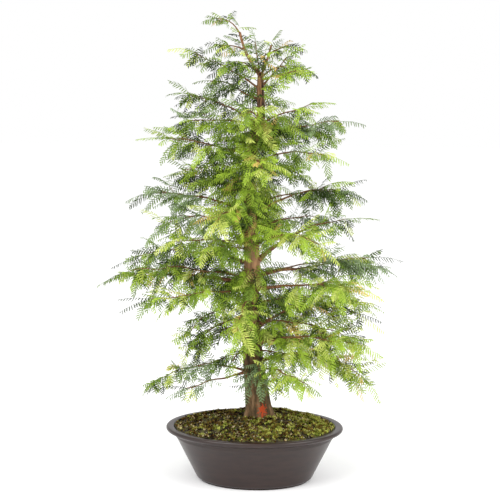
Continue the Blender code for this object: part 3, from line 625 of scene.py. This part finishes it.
def row_line(row, bark):
    """The whole line of a row, from where its foot stands off the model's bark by the gap."""
    outward = direction(row.bearing, 0)
    side = direction(row.bearing + 90, 0)
    up = direction(row.bearing, row.rise + 90)
    start = host_at(row.host, row.height) + outward * FOOT_OUT
    rim = [start]
    for i in range(FOOT_RIM):
        turn = tau * i / FOOT_RIM
        rim.append(start + (side * cos(turn) + up * sin(turn)) * row.girth / 2)
    hits = [bark.ray_cast(Vector(point), Vector(-outward)) for point in rim]
    clear = min(distance for where, _, _, distance in hits if where)
    even = walk(start - outward * (clear - GAP), row.bearing, row.rise, row.droop, row.length, LINE_STEPS)
    line = []
    for i, point in enumerate(even):
        place = Vector((i / len(even) * row.length * KINKS, row.bearing, row.height * KINK_APART))
        stray = KINK * min(1.0, i / KINK_EASE)
        aside, above = noise.noise(place), noise.noise(place + Vector(KINK_UP))
        line.append(point + stray * (side * aside + up * above))
    return line


# ---- sprays

def add_spray(pile, root, bearing, rise, droop, length, roll, dice):
    """One flat feather: a rib that arches down, with needles in two ranks."""
    pairs = max(PAIRS_LEAST, round(length / PAIR_STEP))
    share = (np.arange(pairs) + 0.5) / pairs
    slope = np.radians(rise - droop * share)
    heading = radians(bearing)
    level = np.cos(slope)
    along = np.stack([cos(heading) * level, sin(heading) * level, np.sin(slope)], axis=1)
    rib = root + np.cumsum(along, axis=0) * (length / pairs)
    flat = np.array([-sin(heading), cos(heading), 0.0])
    above = np.stack([-cos(heading) * np.sin(slope), -sin(heading) * np.sin(slope), level], axis=1)
    turn = radians(roll)
    across = flat * cos(turn) - above * sin(turn)
    over = above * cos(turn) + flat * sin(turn)
    angle = np.radians(NEEDLE_ANGLES[0] + (NEEDLE_ANGLES[1] - NEEDLE_ANGLES[0]) * share)[:, None]
    hang = radians(dice.uniform(*NEEDLE_DROOP))
    swell = np.interp(share, *SPRAY_SWELL)
    least, more = NEEDLE_SHORT
    size = NEEDLE_LENGTH * min(1.0, least + more * length / SPRAY_LENGTH) * swell
    for hand in (1, -1):
        wobble, tilt, twist = [np.radians([[dice.uniform(-most, most)] for _ in range(pairs)])
                               for most in (NEEDLE_TURN, NEEDLE_TILT, NEEDLE_ROLL)]
        uneven = np.array([dice.uniform(*NEEDLE_UNEVEN) for _ in range(pairs)])
        tip = along * np.cos(angle + wobble) + hand * across * np.sin(angle + wobble)
        tip = tip * np.cos(hang + tilt) - over * np.sin(hang + tilt)
        width = np.cross(over, tip)
        width /= np.linalg.norm(width, axis=1)[:, None]
        width = width * np.cos(twist) + over * np.sin(twist)
        foot = rib + along * (length / pairs) * (PAIR_SHIFT * hand)
        out, half = NEEDLE_OUTLINE[None, :, 0, None], NEEDLE_OUTLINE[None, :, 1, None]
        reach = (size * uneven)[:, None, None]
        points = (foot[:, None, :] + tip[:, None, :] * out * reach + width[:, None, :] * half * NEEDLE_WIDTH
                  - over[:, None, :] * NEEDLE_SAG * reach * out ** 2)
        base = (np.arange(pairs) * len(NEEDLE_OUTLINE))[:, None, None]
        pile.add(points.reshape(-1, 3), (NEEDLE_FACES[None] + base).reshape(-1, 3))
    line = np.vstack([root, rib[::RIB_RINGS], rib[-1:] + along[-1] * RIB_BEYOND])
    add_tube(pile, line, np.linspace(RIB_RADIUS, RIB_RADIUS * RIB_THIN, len(line)), RIB_SIDES)


def deal_tint(tone, tipward, dice):
    """A tint for one spray: lime and fresh towards the tips, and the deep tint, painted shade, inside."""
    shares = dict(TONES[tone])
    for tint, (inside, added) in TIPWARD.items():
        shares[tint] = shares.get(tint, 0) * (inside + added * tipward)
    names = list(shares)
    return dice.choices(names, [shares[name] for name in names])[0]


def grow_row(row, number, line, twigs, leaves):
    """Side twigs and sprays along one row, by the model's rule, closer set and branched once more."""
    dice = random.Random(ROW_SEED + number)
    chance = dice.uniform
    start = row.bare
    tip = stem_end(row)
    count = max(TWIGS_LEAST, round((tip - start) * row.length / TWIG_STEP))
    side = dice.choice((-1, 1))
    for i in range(count):
        inward = (i + 0.5 + chance(-TWIG_SCATTER, TWIG_SCATTER)) / count
        share = tip - (tip - start) * inward
        fork = FORK_AT_TIP + (FORK_AT_FOOT - FORK_AT_TIP) * inward
        swell = sin(pi * (TWIG_SWELL[0] + TWIG_SWELL[1] * inward))
        lift = dice.triangular(*TWIG_SLOPES)
        reach = row.reach * row.spread * (REACH_LEAST + REACH_SWELL * swell) * chance(*TWIG_REACH)
        reach *= 1.0 - TWIG_STEEP * abs(lift) / -TWIG_SLOPES[0]
        reach *= TWIG_POINTED + (1 - TWIG_POINTED) * min(1.0, inward / TWIG_POINT)
        bearing = row.bearing + side * fork * chance(*TWIG_FORK)
        rise = slope_at(row, share) * STEM_SLOPE + lift
        add_twig(point_at(line, share), bearing, rise, reach, side, row.tone, 1 - inward,
                 twigs, leaves, dice)
        side = -side
    tint = deal_tint(row.tone, 1.0, dice)
    add_spray(leaves[tint], point_at(line, tip), row.bearing + chance(*END_HABIT.turn),
              slope_at(row, tip), chance(*END_HABIT.droop), end_blade(row) * END_SPRAY,
              chance(*END_HABIT.roll), dice)
    fills = round((tip - start) * row.length / FILL_STEP)
    for i in range(fills):
        share = start + (tip - start) * (i + dice.random()) / fills
        bearing = row.bearing + chance(*FILL_HABIT.turn)
        size = SPRAY_LENGTH * chance(*FILL_LENGTH) * min(1.0, row.spread / FILL_FULL)
        tint = deal_tint(row.tone, share * FILL_TIPWARD, dice)
        rise, droop, roll = [chance(*span) for span in FILL_HABIT[1:]]
        add_spray(leaves[tint], point_at(line, share), bearing, rise, droop, size, roll, dice)


def add_twig(root, bearing, rise, reach, side, tone, tipward, twigs, leaves, dice):
    """A side twig: its wood, the spray that ends it and the smaller ones beside its wood."""
    chance = dice.uniform
    length = min(SPRAY_LENGTH, max(SPRAY_LEAST, reach * chance(*TWIG_SPRAY)))
    wood = max(TWIG_LEAST, reach - length)
    bend = chance(*TWIG_BEND)
    line = walk(root, bearing, rise + bend, bend, wood, TWIG_STEPS)
    add_tube(twigs, line, np.linspace(*TWIG_RADII, len(line)), TWIG_SIDES)
    roll = side * chance(*TWIG_HABIT.roll)
    tint = deal_tint(tone, tipward, dice)
    add_spray(leaves[tint], line[-1], bearing, rise, chance(*TWIG_HABIT.droop), length, roll, dice)
    hand = dice.choice((-1, 1))
    for i in range(int(wood / SIDE_STEP + SIDE_MORE)):
        place = point_at(line, min(SIDE_LAST, (i + SIDE_FIRST) * SIDE_STEP / wood))
        off = hand * chance(*SIDE_HABIT.turn)
        size = max(SPRAY_LEAST, length * chance(*SIDE_LENGTH))
        tint = deal_tint(tone, tipward * SIDE_TIPWARD, dice)
        lift, droop, roll = [chance(*span) for span in SIDE_HABIT[1:]]
        add_spray(leaves[tint], place, bearing + off, rise + lift, droop, size, hand * roll, dice)
        hand = -hand


def trunk_bark_at(height, bearing):
    """A place just inside the trunk's bark."""
    _, x, y, radius = smooth_row(TRUNK, height)
    return np.array([x, y, height]) + direction(bearing, 0) * radius * SHOOT_SUNK


def grow_trunk_shoots(twigs, leaves):
    """Short leafy twigs that spring from the trunk itself, and sprays that hang against it."""
    dice = random.Random(f"{SEED} trunk")
    turn = 0.0
    for low, high, step, least, most, first, last in TRUNK_SHOOTS:
        for height in np.arange(low, high, step):
            turn += NEXT_ROUND / 360 + dice.uniform(-ROUND_SCATTER, ROUND_SCATTER)
            bearing = first + (last - first) * (turn % 1.0)
            tone = dice.choice(SHOOT_TONES)
            add_twig(trunk_bark_at(height, bearing), bearing, dice.uniform(*SHOOT_RISE),
                     dice.uniform(least, most), dice.choice((-1, 1)), tone, SHOOT_TIPWARD,
                     twigs, leaves, dice)
    habit = TUFT_HABIT
    for low, high, step in TRUNK_TUFTS:
        for height in np.arange(low, high, step):
            turn += NEXT_ROUND / 360 + dice.uniform(-ROUND_SCATTER, ROUND_SCATTER)
            bearing = 360 * (turn % 1.0)
            tint = deal_tint("fresh", TUFT_TIPWARD, dice)
            add_spray(leaves[tint], trunk_bark_at(height, bearing), bearing + dice.uniform(*habit.turn),
                      dice.uniform(*habit.rise), dice.uniform(*habit.droop), dice.uniform(*TUFT_LENGTH),
                      dice.uniform(*habit.roll), dice)


def add_stem(row, line, boughs, twigs):
    """A row's own wood: the bough as far as it is bare, then the stem inside its mass."""
    inward = -direction(row.bearing, row.rise)
    stations = max(LIMB_RINGS_LEAST, round(row.length / LIMB_STEP))
    shares = np.linspace(0.0, stem_end(row), stations)
    points = [line[0] + inward * LIMB_SUNK] + [point_at(line, share) for share in shares]
    radii = []
    for share in np.concatenate([[0.0], shares]):
        thin = STEM_TIP + (row_radius(row, share) - STEM_TIP) * (1 - share) ** STEM_THIN
        collar = 1 + COLLAR * exp(-share * row.length / COLLAR_LENGTH)
        radii.append(thin * collar)
    split = round(stations * row.limb) + LIMB_INSIDE if row.limb else 0
    if split:
        add_tube(boughs, points[:split + 1], radii[:split + 1], LIMB_SIDES, *LIMB_ROUGH)
    rest = slice(max(split - 1, 0), None, STEM_RINGS)
    add_tube(twigs, points[rest], radii[rest], STEM_SIDES)


def grow_leader(leader, leaves):
    """Sprays all the way up a leader."""
    dice = random.Random(f"{SEED} {leader.name}")
    line = leader_line(leader)
    count = round(leader.length / LEADER_STEP)
    for i in range(count):
        share = (i + 0.5) / count
        bearing = leader.bearing + NEXT_ROUND * i + dice.uniform(*LEADER_HABIT.turn)
        length = SPRAY_LENGTH * dice.uniform(*LEADER_SPRAY) * (1 - LEADER_LESS * share)
        tint = deal_tint("mid", share, dice)
        rise, droop, roll = [dice.uniform(*span) for span in LEADER_HABIT[1:]]
        add_spray(leaves[tint], point_at(line, share), bearing, rise, droop, length, roll, dice)
    rise, droop, share = LEADER_TIP
    add_spray(leaves["mid"], line[-1], leader.bearing, rise, droop, SPRAY_LENGTH * share, 0, dice)


# ---- materials

def principled(name, colour, roughness, shine=0.5):
    made = bpy.data.materials.new(name)
    made.use_nodes = True
    shader = made.node_tree.nodes["Principled BSDF"]
    shader.inputs["Base Color"].default_value = linear(colour)
    shader.inputs["Roughness"].default_value = roughness
    shader.inputs["Specular IOR Level"].default_value = shine
    made.diffuse_color = linear(colour)
    return made


def node(tree, kind, inputs, **settings):
    """A shader node, each of whose inputs is a constant or another node's output."""
    made = tree.nodes.new("ShaderNode" + kind)
    for key, value in settings.items():
        setattr(made, key, value)
    for socket, value in inputs.items():
        if isinstance(value, bpy.types.NodeSocket):
            tree.links.new(value, made.inputs[socket])
        else:
            made.inputs[socket].default_value = value
    return made


def patterned(name, stops, scale, stretch, roughness, bump=0.3, bump_size=0.001, fine=3.0):
    """A surface whose colour follows noise through a ramp, with finer noise for relief."""
    made = principled(name, stops[0][1], roughness)
    tree = made.node_tree
    shader = tree.nodes["Principled BSDF"]
    place = node(tree, "TexCoord", {}).outputs["Object"]
    place = node(tree, "Mapping", {"Vector": place, "Scale": stretch}).outputs["Vector"]
    pattern = node(tree, "TexNoise", {"Vector": place, "Scale": scale, **PATTERN_NOISE})
    ramp = node(tree, "ValToRGB", {"Fac": pattern.outputs["Fac"]})
    elements = ramp.color_ramp.elements
    while len(elements) < len(stops):
        elements.new(0.5)
    for element, (share, colour) in zip(elements, stops):
        element.position = share
        element.color = linear(colour)
    tree.links.new(ramp.outputs["Color"], shader.inputs["Base Color"])
    grain = node(tree, "TexNoise", {"Vector": place, "Scale": scale * fine, **GRAIN_NOISE})
    relief = node(tree, "Bump", {"Strength": bump, "Distance": bump_size,
                                           "Height": grain.outputs["Fac"]})
    tree.links.new(relief.outputs["Normal"], shader.inputs["Normal"])
    return made


def lay_spot(made, spot):
    """Lays a spot of one colour over a material."""
    tree = made.node_tree
    shader = tree.nodes["Principled BSDF"]
    place = node(tree, "TexCoord", {}).outputs["Object"]
    offset = node(tree, "VectorMath", {0: place, 1: spot.centre}, operation="SUBTRACT")
    squeeze = (1.0, 1.0, spot.squeeze)
    shape = node(tree, "VectorMath", {0: offset.outputs["Vector"], 1: squeeze}, operation="MULTIPLY")
    away = node(tree, "VectorMath", {0: shape.outputs["Vector"]}, operation="LENGTH")
    edge = node(tree, "TexNoise", {"Vector": place, "Scale": SPOT_CELLS})
    rough = node(tree, "Math", operation="MULTIPLY_ADD",
                 inputs={0: edge.outputs["Fac"], 1: spot.ragged, 2: away.outputs["Value"]})
    fade = node(tree, "MapRange", {
        "Value": rough.outputs["Value"], "From Min": spot.inner, "From Max": spot.outer,
        "To Min": spot.strength, "To Max": 0.0})
    mix = node(tree, "Mix", {}, data_type="RGBA")
    factor, under, over = [next(item for item in mix.inputs if item.identifier == wanted)
                           for wanted in ("Factor_Float", "A_Color", "B_Color")]
    over.default_value = linear(spot.wash)
    tree.links.new(fade.outputs["Result"], factor)
    tree.links.new(shader.inputs["Base Color"].links[0].from_socket, under)
    result = next(item for item in mix.outputs if item.identifier == "Result_Color")
    tree.links.new(result, shader.inputs["Base Color"])


# ---- trunk

def bark_noise(turn, height, cells, layer=0.0):
    around, up = cells
    return noise.noise(Vector((cos(turn) * around, sin(turn) * around, height * up + layer)))


def bark_relief(turn, height):
    """How far the bark stands out: long ridged strips with fine fibres on them."""
    turn += bark_noise(turn, height, BARK_TWIST) * BARK_TWIST_MOST
    strips = bark_noise(turn, height, BARK_BROAD, BARK_BROAD_LAYER)
    ridges = 1.0 - 2.0 * abs(bark_noise(turn, height, BARK_RIDGES))
    fibres = bark_noise(turn, height, BARK_FIBRES)
    return BARK_STRIP_DEPTH * (BARK_SHARE * ridges + BARK_SHARE * strips) + BARK_FIBRE_DEPTH * fibres


def make_trunk(finish):
    foot, top = TRUNK[0][0], TRUNK[-1][0]
    heights = np.concatenate([[foot - BARK_BELOW], np.linspace(foot, top, BARK_RINGS)])
    points = []
    for height in heights:
        _, x, y, radius = smooth_row(TRUNK, max(foot, height))
        depth = BARK_THIN[0] + BARK_THIN[1] * (radius / TRUNK[0][3])
        for i in range(BARK_SIDES):
            turn = tau * i / BARK_SIDES
            lobes = 1 - FLARE_HOLLOW * (1 - cos(FLARE_LOBES * turn + FLARE_TURN))
            up = max(0.0, height - foot) / FLARE_HEIGHT
            grow = FLARE * lobes * exp(-up * FLARE_FADE)
            out = radius * (1 + grow) + bark_relief(turn, height) * depth
            points.append((x + out * cos(turn), y + out * sin(turn), height))
    _, x, y, radius = smooth_row(TRUNK, top)
    points.append((x, y, top + radius * BARK_DOME))
    cap = fan((len(heights) - 1) * BARK_SIDES, BARK_SIDES, len(points) - 1)
    return whole("trunk_bark", points, np.vstack([grid_faces(len(heights), BARK_SIDES), cap]), finish)


def make_leaders(finish):
    pile = Pile()
    for leader in LEADERS:
        line = leader_line(leader)[:LEADER_CUT + 1]
        root = [line[0] - direction(leader.bearing, leader.rise) * LEADER_SUNK]
        inside, foot, cut = [leader.radius * swell for swell in LEADER_SWELL]
        radii = np.concatenate([[inside], np.linspace(foot, cut, len(line))])
        add_tube(pile, root + line, radii, LEADER_SIDES, *LEADER_ROUGH)
    return pile.piece("leaders_bark", finish, smooth=True)


# ---- pot

def arc(centre, radius, turns):
    start, end, steps = turns
    turn = np.radians(np.linspace(start, end, steps + 1))
    return [(centre[0] + radius * cos(a), centre[1] + radius * sin(a)) for a in turn]


def oval(out, sides):
    """Places round an oval of the pot's proportions."""
    turns = [tau * i / sides for i in range(sides)]
    return [(out * cos(turn), out * sin(turn) * POT_DEPTH / POT_LENGTH) for turn in turns]


def pot_inside(height):
    share = (height - POT_HEEL_ROUND) / (POT_SHOULDER_HEIGHT - POT_HEEL_ROUND)
    return POT_HEEL + (POT_SHOULDER - POT_HEEL) * share - POT_WALL


def make_pot(finish):
    """The oval bowl: inset foot, rounded heel, straight wall, cove and rolled lip."""
    rim = (POT_MOUTH + POT_RIM_ROUND, POT_HEIGHT - POT_RIM_ROUND)
    lip = (POT_LENGTH / 2 - POT_LIP_ROUND, POT_HEIGHT - POT_LIP_ROUND)
    cove = (POT_SHOULDER + POT_COVE[0], POT_SHOULDER_HEIGHT + POT_COVE[1])
    heel = (POT_HEEL - POT_HEEL_ROUND, POT_FOOT_HEIGHT + POT_HEEL_ROUND)
    profile = [(pot_inside(height), height) for height in (POT_INNER_FOOT, POT_SHOULDER_HEIGHT)]
    profile += arc(rim, POT_RIM_ROUND, POT_RIM_TURN)
    profile += arc(lip, POT_LIP_ROUND, POT_LIP_TURN)
    profile += arc(cove, POT_COVE_ROUND, POT_COVE_TURN)
    profile += [(POT_SHOULDER - POT_WALL_TOP[0], POT_SHOULDER_HEIGHT - POT_WALL_TOP[1])]
    profile += arc(heel, POT_HEEL_ROUND, POT_HEEL_TURN)
    profile += [(POT_FOOT + POT_BEVEL, POT_FOOT_HEIGHT), (POT_FOOT, POT_FOOT_HEIGHT - POT_BEVEL)]
    profile += [(POT_FOOT - POT_FOOT_TAPER, 0.0), (POT_CENTRE, 0.0)]
    points = [(x, y, height) for out, height in profile for x, y in oval(out, POT_SIDES)]
    item = whole("pot_body", points, grid_faces(len(profile), POT_SIDES)[:, ::-1], finish)
    item.data.set_sharp_from_angle(angle=radians(POT_SHARP))
    return item


# ---- moss and soil

def soil_height(x, y):
    out = hypot(x / POT_LENGTH, y / POT_DEPTH) * 2
    rise = max(0.0, 1 - out ** SOIL_FALL[0]) ** SOIL_FALL[1]
    mound = SOIL_EDGE_HEIGHT + (SOIL_CREST_HEIGHT - SOIL_EDGE_HEIGHT) * rise
    away = hypot(x - TRUNK[0][1], y - TRUNK[0][2])
    blend = min(1.0, max(0.0, (away - SOIL_PAD) / SOIL_PAD))
    return SOIL_CREST_HEIGHT + (min(mound, SOIL_CREST_HEIGHT) - SOIL_CREST_HEIGHT) * blend


def soil_noise(x, y, cells):
    return noise.noise(Vector((x * cells[0], y * cells[1], cells[2])))


def cushion(x, y):
    """Cover of moss at a place, from about -1, bare, to 1, a full cushion."""
    return MOSS_MIX[0] * soil_noise(x, y, MOSS_BROAD) + MOSS_MIX[1] * soil_noise(x, y, MOSS_FINE)


def ground(x, y):
    fine = SOIL_FINE_HEIGHT * soil_noise(x, y, SOIL_FINE)
    return soil_height(x, y) + MOSS_CUSHION * max(SOIL_HOLLOW, cushion(x, y)) + fine


def make_ground(finish):
    reach = pot_inside(SOIL_EDGE_HEIGHT) + SOIL_UNDER_LIP
    points = [(0.0, 0.0, ground(0.0, 0.0))]
    for ring in range(1, MOSS_RINGS + 1):
        points += [(x, y, ground(x, y)) for x, y in oval(reach * ring / MOSS_RINGS, MOSS_SIDES)]
    centre = [(0, 1 + i, 1 + (i + 1) % MOSS_SIDES) for i in range(MOSS_SIDES)]
    faces = np.vstack([centre, grid_faces(MOSS_RINGS, MOSS_SIDES) + 1])
    return whole("soil_surface", points, faces, finish)


def scatter(dice):
    """A place on the soil, evenly spread, with its height."""
    while True:
        x, y = dice.uniform(-1, 1), dice.uniform(-1, 1)
        if x * x + y * y < 1:
            break
    reach = pot_inside(SOIL_EDGE_HEIGHT) - SCATTER_CLEAR
    x, y = x * reach, y * reach * POT_DEPTH / POT_LENGTH
    return x, y, ground(x, y)


def make_moss():
    dice = random.Random(SEED)
    piles = {name: Pile() for name in MOSS_TINTS}
    for _ in range(MOSS_TUFTS):
        x, y, z = scatter(dice)
        if cushion(x, y) < dice.uniform(*MOSS_COVER):
            continue
        broad, fine = soil_noise(x, y, LUSH_BROAD), soil_noise(x, y, LUSH_FINE)
        away = hypot(x - MOSS_BARE[0], y - MOSS_BARE[1]) / MOSS_BARE[2]
        lush = MOSS_LUSH[0] + MOSS_LUSH[1] * x + broad + LUSH_FINE_MIX * fine
        lush = min(1.0, max(0.0, lush - MOSS_BARE[3] * exp(-away ** 2)))
        weights = [bare + (full - bare) * lush for _, bare, full in MOSS_TINTS.values()]
        shade = dice.choices(list(MOSS_TINTS), weights)[0]
        tall = dice.uniform(*MOSS_TALL) * (MOSS_TALLER[0] + MOSS_TALLER[1] * lush)
        points, faces = [], []
        for blade in range(MOSS_BLADES):
            turn = tau * (blade + dice.random()) / MOSS_BLADES
            lean = dice.uniform(*MOSS_LEAN)
            way = np.array([cos(turn), sin(turn), 0.0])
            side = np.array([-way[1], way[0], 0.0]) * dice.uniform(*MOSS_BLADE_WIDTHS)
            base = np.array([x, y, z - MOSS_SUNK]) + way * MOSS_APART
            tip = base + way * tall * lean + np.array([0, 0, tall])
            faces.append((len(points), len(points) + 1, len(points) + 2))
            points += [base - side, base + side, tip]
        piles[shade].add(np.array(points), faces)
    return [piles[name].piece("moss_" + name, principled("moss_" + name, colour, *MOSS_FINISH))
            for name, (colour, _, _) in MOSS_TINTS.items()]


def make_grit():
    """Small stones and crumbs of bark, each a rough little solid."""
    dice = random.Random(SEED + 1)
    corners = np.array([(1, 0, 0), (-1, 0, 0), (0, 1, 0), (0, -1, 0), (0, 0, 1), (0, 0, -1)], dtype=float)
    faces = np.array([(0, 2, 4), (2, 1, 4), (1, 3, 4), (3, 0, 4), (2, 0, 5), (1, 2, 5), (3, 1, 5), (0, 3, 5)])
    piles = {name: Pile() for name in GRIT_TINTS}
    weights = [often for _, _, often in GRIT_TINTS.values()]
    for _ in range(GRIT_STONES):
        x, y, z = scatter(dice)
        shade = dice.choices(list(GRIT_TINTS), weights)[0]
        size = dice.uniform(*GRIT_SIZE)
        shape = corners * [dice.uniform(*sides) for sides in GRIT_SHAPE]
        turn = Matrix.Rotation(dice.uniform(0, tau), 3, "Z")
        turn = turn @ Matrix.Rotation(dice.uniform(-GRIT_TILT, GRIT_TILT), 3, "X")
        piles[shade].add(shape * size @ np.array(turn).T + np.array([x, y, z + size * GRIT_OUT]), faces)
    return [piles[name].piece("grit_" + name, principled("grit_" + name, colour, roughness))
            for name, (colour, roughness, _) in GRIT_TINTS.items()]


# ---- stage

def make_stage():
    mesh = bpy.data.meshes.new("floor")
    corners = [(x * FLOOR_SIZE, y * FLOOR_SIZE, 0) for x, y in ((-1, -1), (1, -1), (1, 1), (-1, 1))]
    mesh.from_pydata(corners, [], [(0, 1, 2, 3)])
    mesh.materials.append(principled("stage_white", *FLOOR_FINISH))
    floor = add_object("floor", mesh)
    floor.location.z = -FLOOR_DROP
    world = bpy.data.worlds.new("studio")
    world.use_nodes = True
    background = world.node_tree.nodes["Background"]
    background.inputs["Color"].default_value = (1.0, 1.0, 1.0, 1.0)
    background.inputs["Strength"].default_value = 1.0
    bpy.context.scene.world = world
    bpy.context.scene.view_settings.view_transform = "Standard"


def add_lamp(name, place, size, power):
    lamp = bpy.data.lights.new(name, "AREA")
    lamp.shape = "DISK"
    lamp.size = size
    lamp.energy = power
    item = add_object(name, lamp)
    item.location = place
    aim = Vector((0.0, 0.0, LAMP_AIM)) - Vector(place)
    item.rotation_euler = aim.to_track_quat("-Z", "Y").to_euler()


def add_camera():
    side = radians(CAMERA_BEARING)
    ahead = Vector((-sin(side), cos(side), 0.0))
    right = Vector((cos(side), sin(side), 0.0))
    yaw = atan(YAW_PIXELS / FOCAL_PIXELS)
    level = ahead * cos(yaw) - right * sin(yaw)
    right = right * cos(yaw) + ahead * sin(yaw)
    pitch = radians(CAMERA_PITCH)
    view = level * cos(pitch) - Vector((0.0, 0.0, sin(pitch)))
    data = bpy.data.cameras.new("camera")
    data.sensor_width = SENSOR
    data.lens = SENSOR * FOCAL_PIXELS / FRAME_PIXELS
    camera = add_object("camera", data)
    turn = Matrix((right, right.cross(view), -view)).transposed().to_4x4()
    place = Vector((sin(side), -cos(side), 0.0)) * CAMERA_DISTANCE
    camera.matrix_world = Matrix.Translation(place + Vector((0.0, 0.0, CAMERA_HEIGHT))) @ turn
    bpy.context.scene.camera = camera


def main():
    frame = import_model()
    add_camera()
    make_stage()
    for lamp in LAMPS:
        add_lamp(*lamp)

    def keep(piece, slot, *nodes):
        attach(piece, "root")
        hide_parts(*nodes)

    bark = patterned("bark", *BARK)
    for spot in BARK_SPOTS:
        lay_spot(bark, spot)
    limb = patterned("bough_bark", *LIMB)
    keep(make_trunk(bark), "bark", "trunk")
    keep(make_leaders(limb), "bark", "leader_left", "leader_right")
    keep(make_pot(patterned("pot_umber", *POT)), "pot", "pot")
    keep(make_ground(patterned("mossy_soil", *SOIL)), "moss", "soil")
    for piece in make_moss() + make_grit():
        keep(piece, "moss", "soil")

    barks = {}
    for host in ["trunk"] + [leader.name for leader in LEADERS]:
        mesh = frame["nodes"][host].data
        faces = [tuple(face.vertices) for face in mesh.polygons]
        barks[host] = BVHTree.FromPolygons([point.co for point in mesh.vertices], faces)
    boughs = Pile()
    parts = sorted({row.name.split("_")[0] for row in ROWS})
    twigs = {part: Pile() for part in parts}
    leaves = {part: {tint: Pile() for tint in TINTS} for part in parts}
    for number, row in enumerate(ROWS + SPRIGS):
        part = row.name.split("_")[0]
        line = row_line(row, barks[row.host])
        add_stem(row, line, boughs, twigs[part])
        grow_row(row, number, line, twigs[part], leaves[part])
    for leader in LEADERS:
        grow_leader(leader, leaves["top"])
    grow_trunk_shoots(twigs["front"], leaves["front"])
    twig = principled("twig_bark", *TWIG_FINISH)
    needles = {tint: principled("needles_" + tint, colour, *NEEDLE_FINISH)
               for tint, colour in TINTS.items()}
    limbs = ["bough_" + row.name for row in ROWS if row.limb]
    keep(boughs.piece("boughs_bark", limb, smooth=True), "bark", *limbs)
    for part in parts:
        masses = ["foliage_" + row.name for row in ROWS if row.name.startswith(part + "_")]
        keep(twigs[part].piece("twigs_" + part, twig, smooth=True), "foliage", *masses)
        for tint, pile in leaves[part].items():
            if pile.count:
                keep(pile.piece(f"needles_{tint}_{part}", needles[tint]), "foliage", *masses)

    bpy.context.view_layer.update()


main()
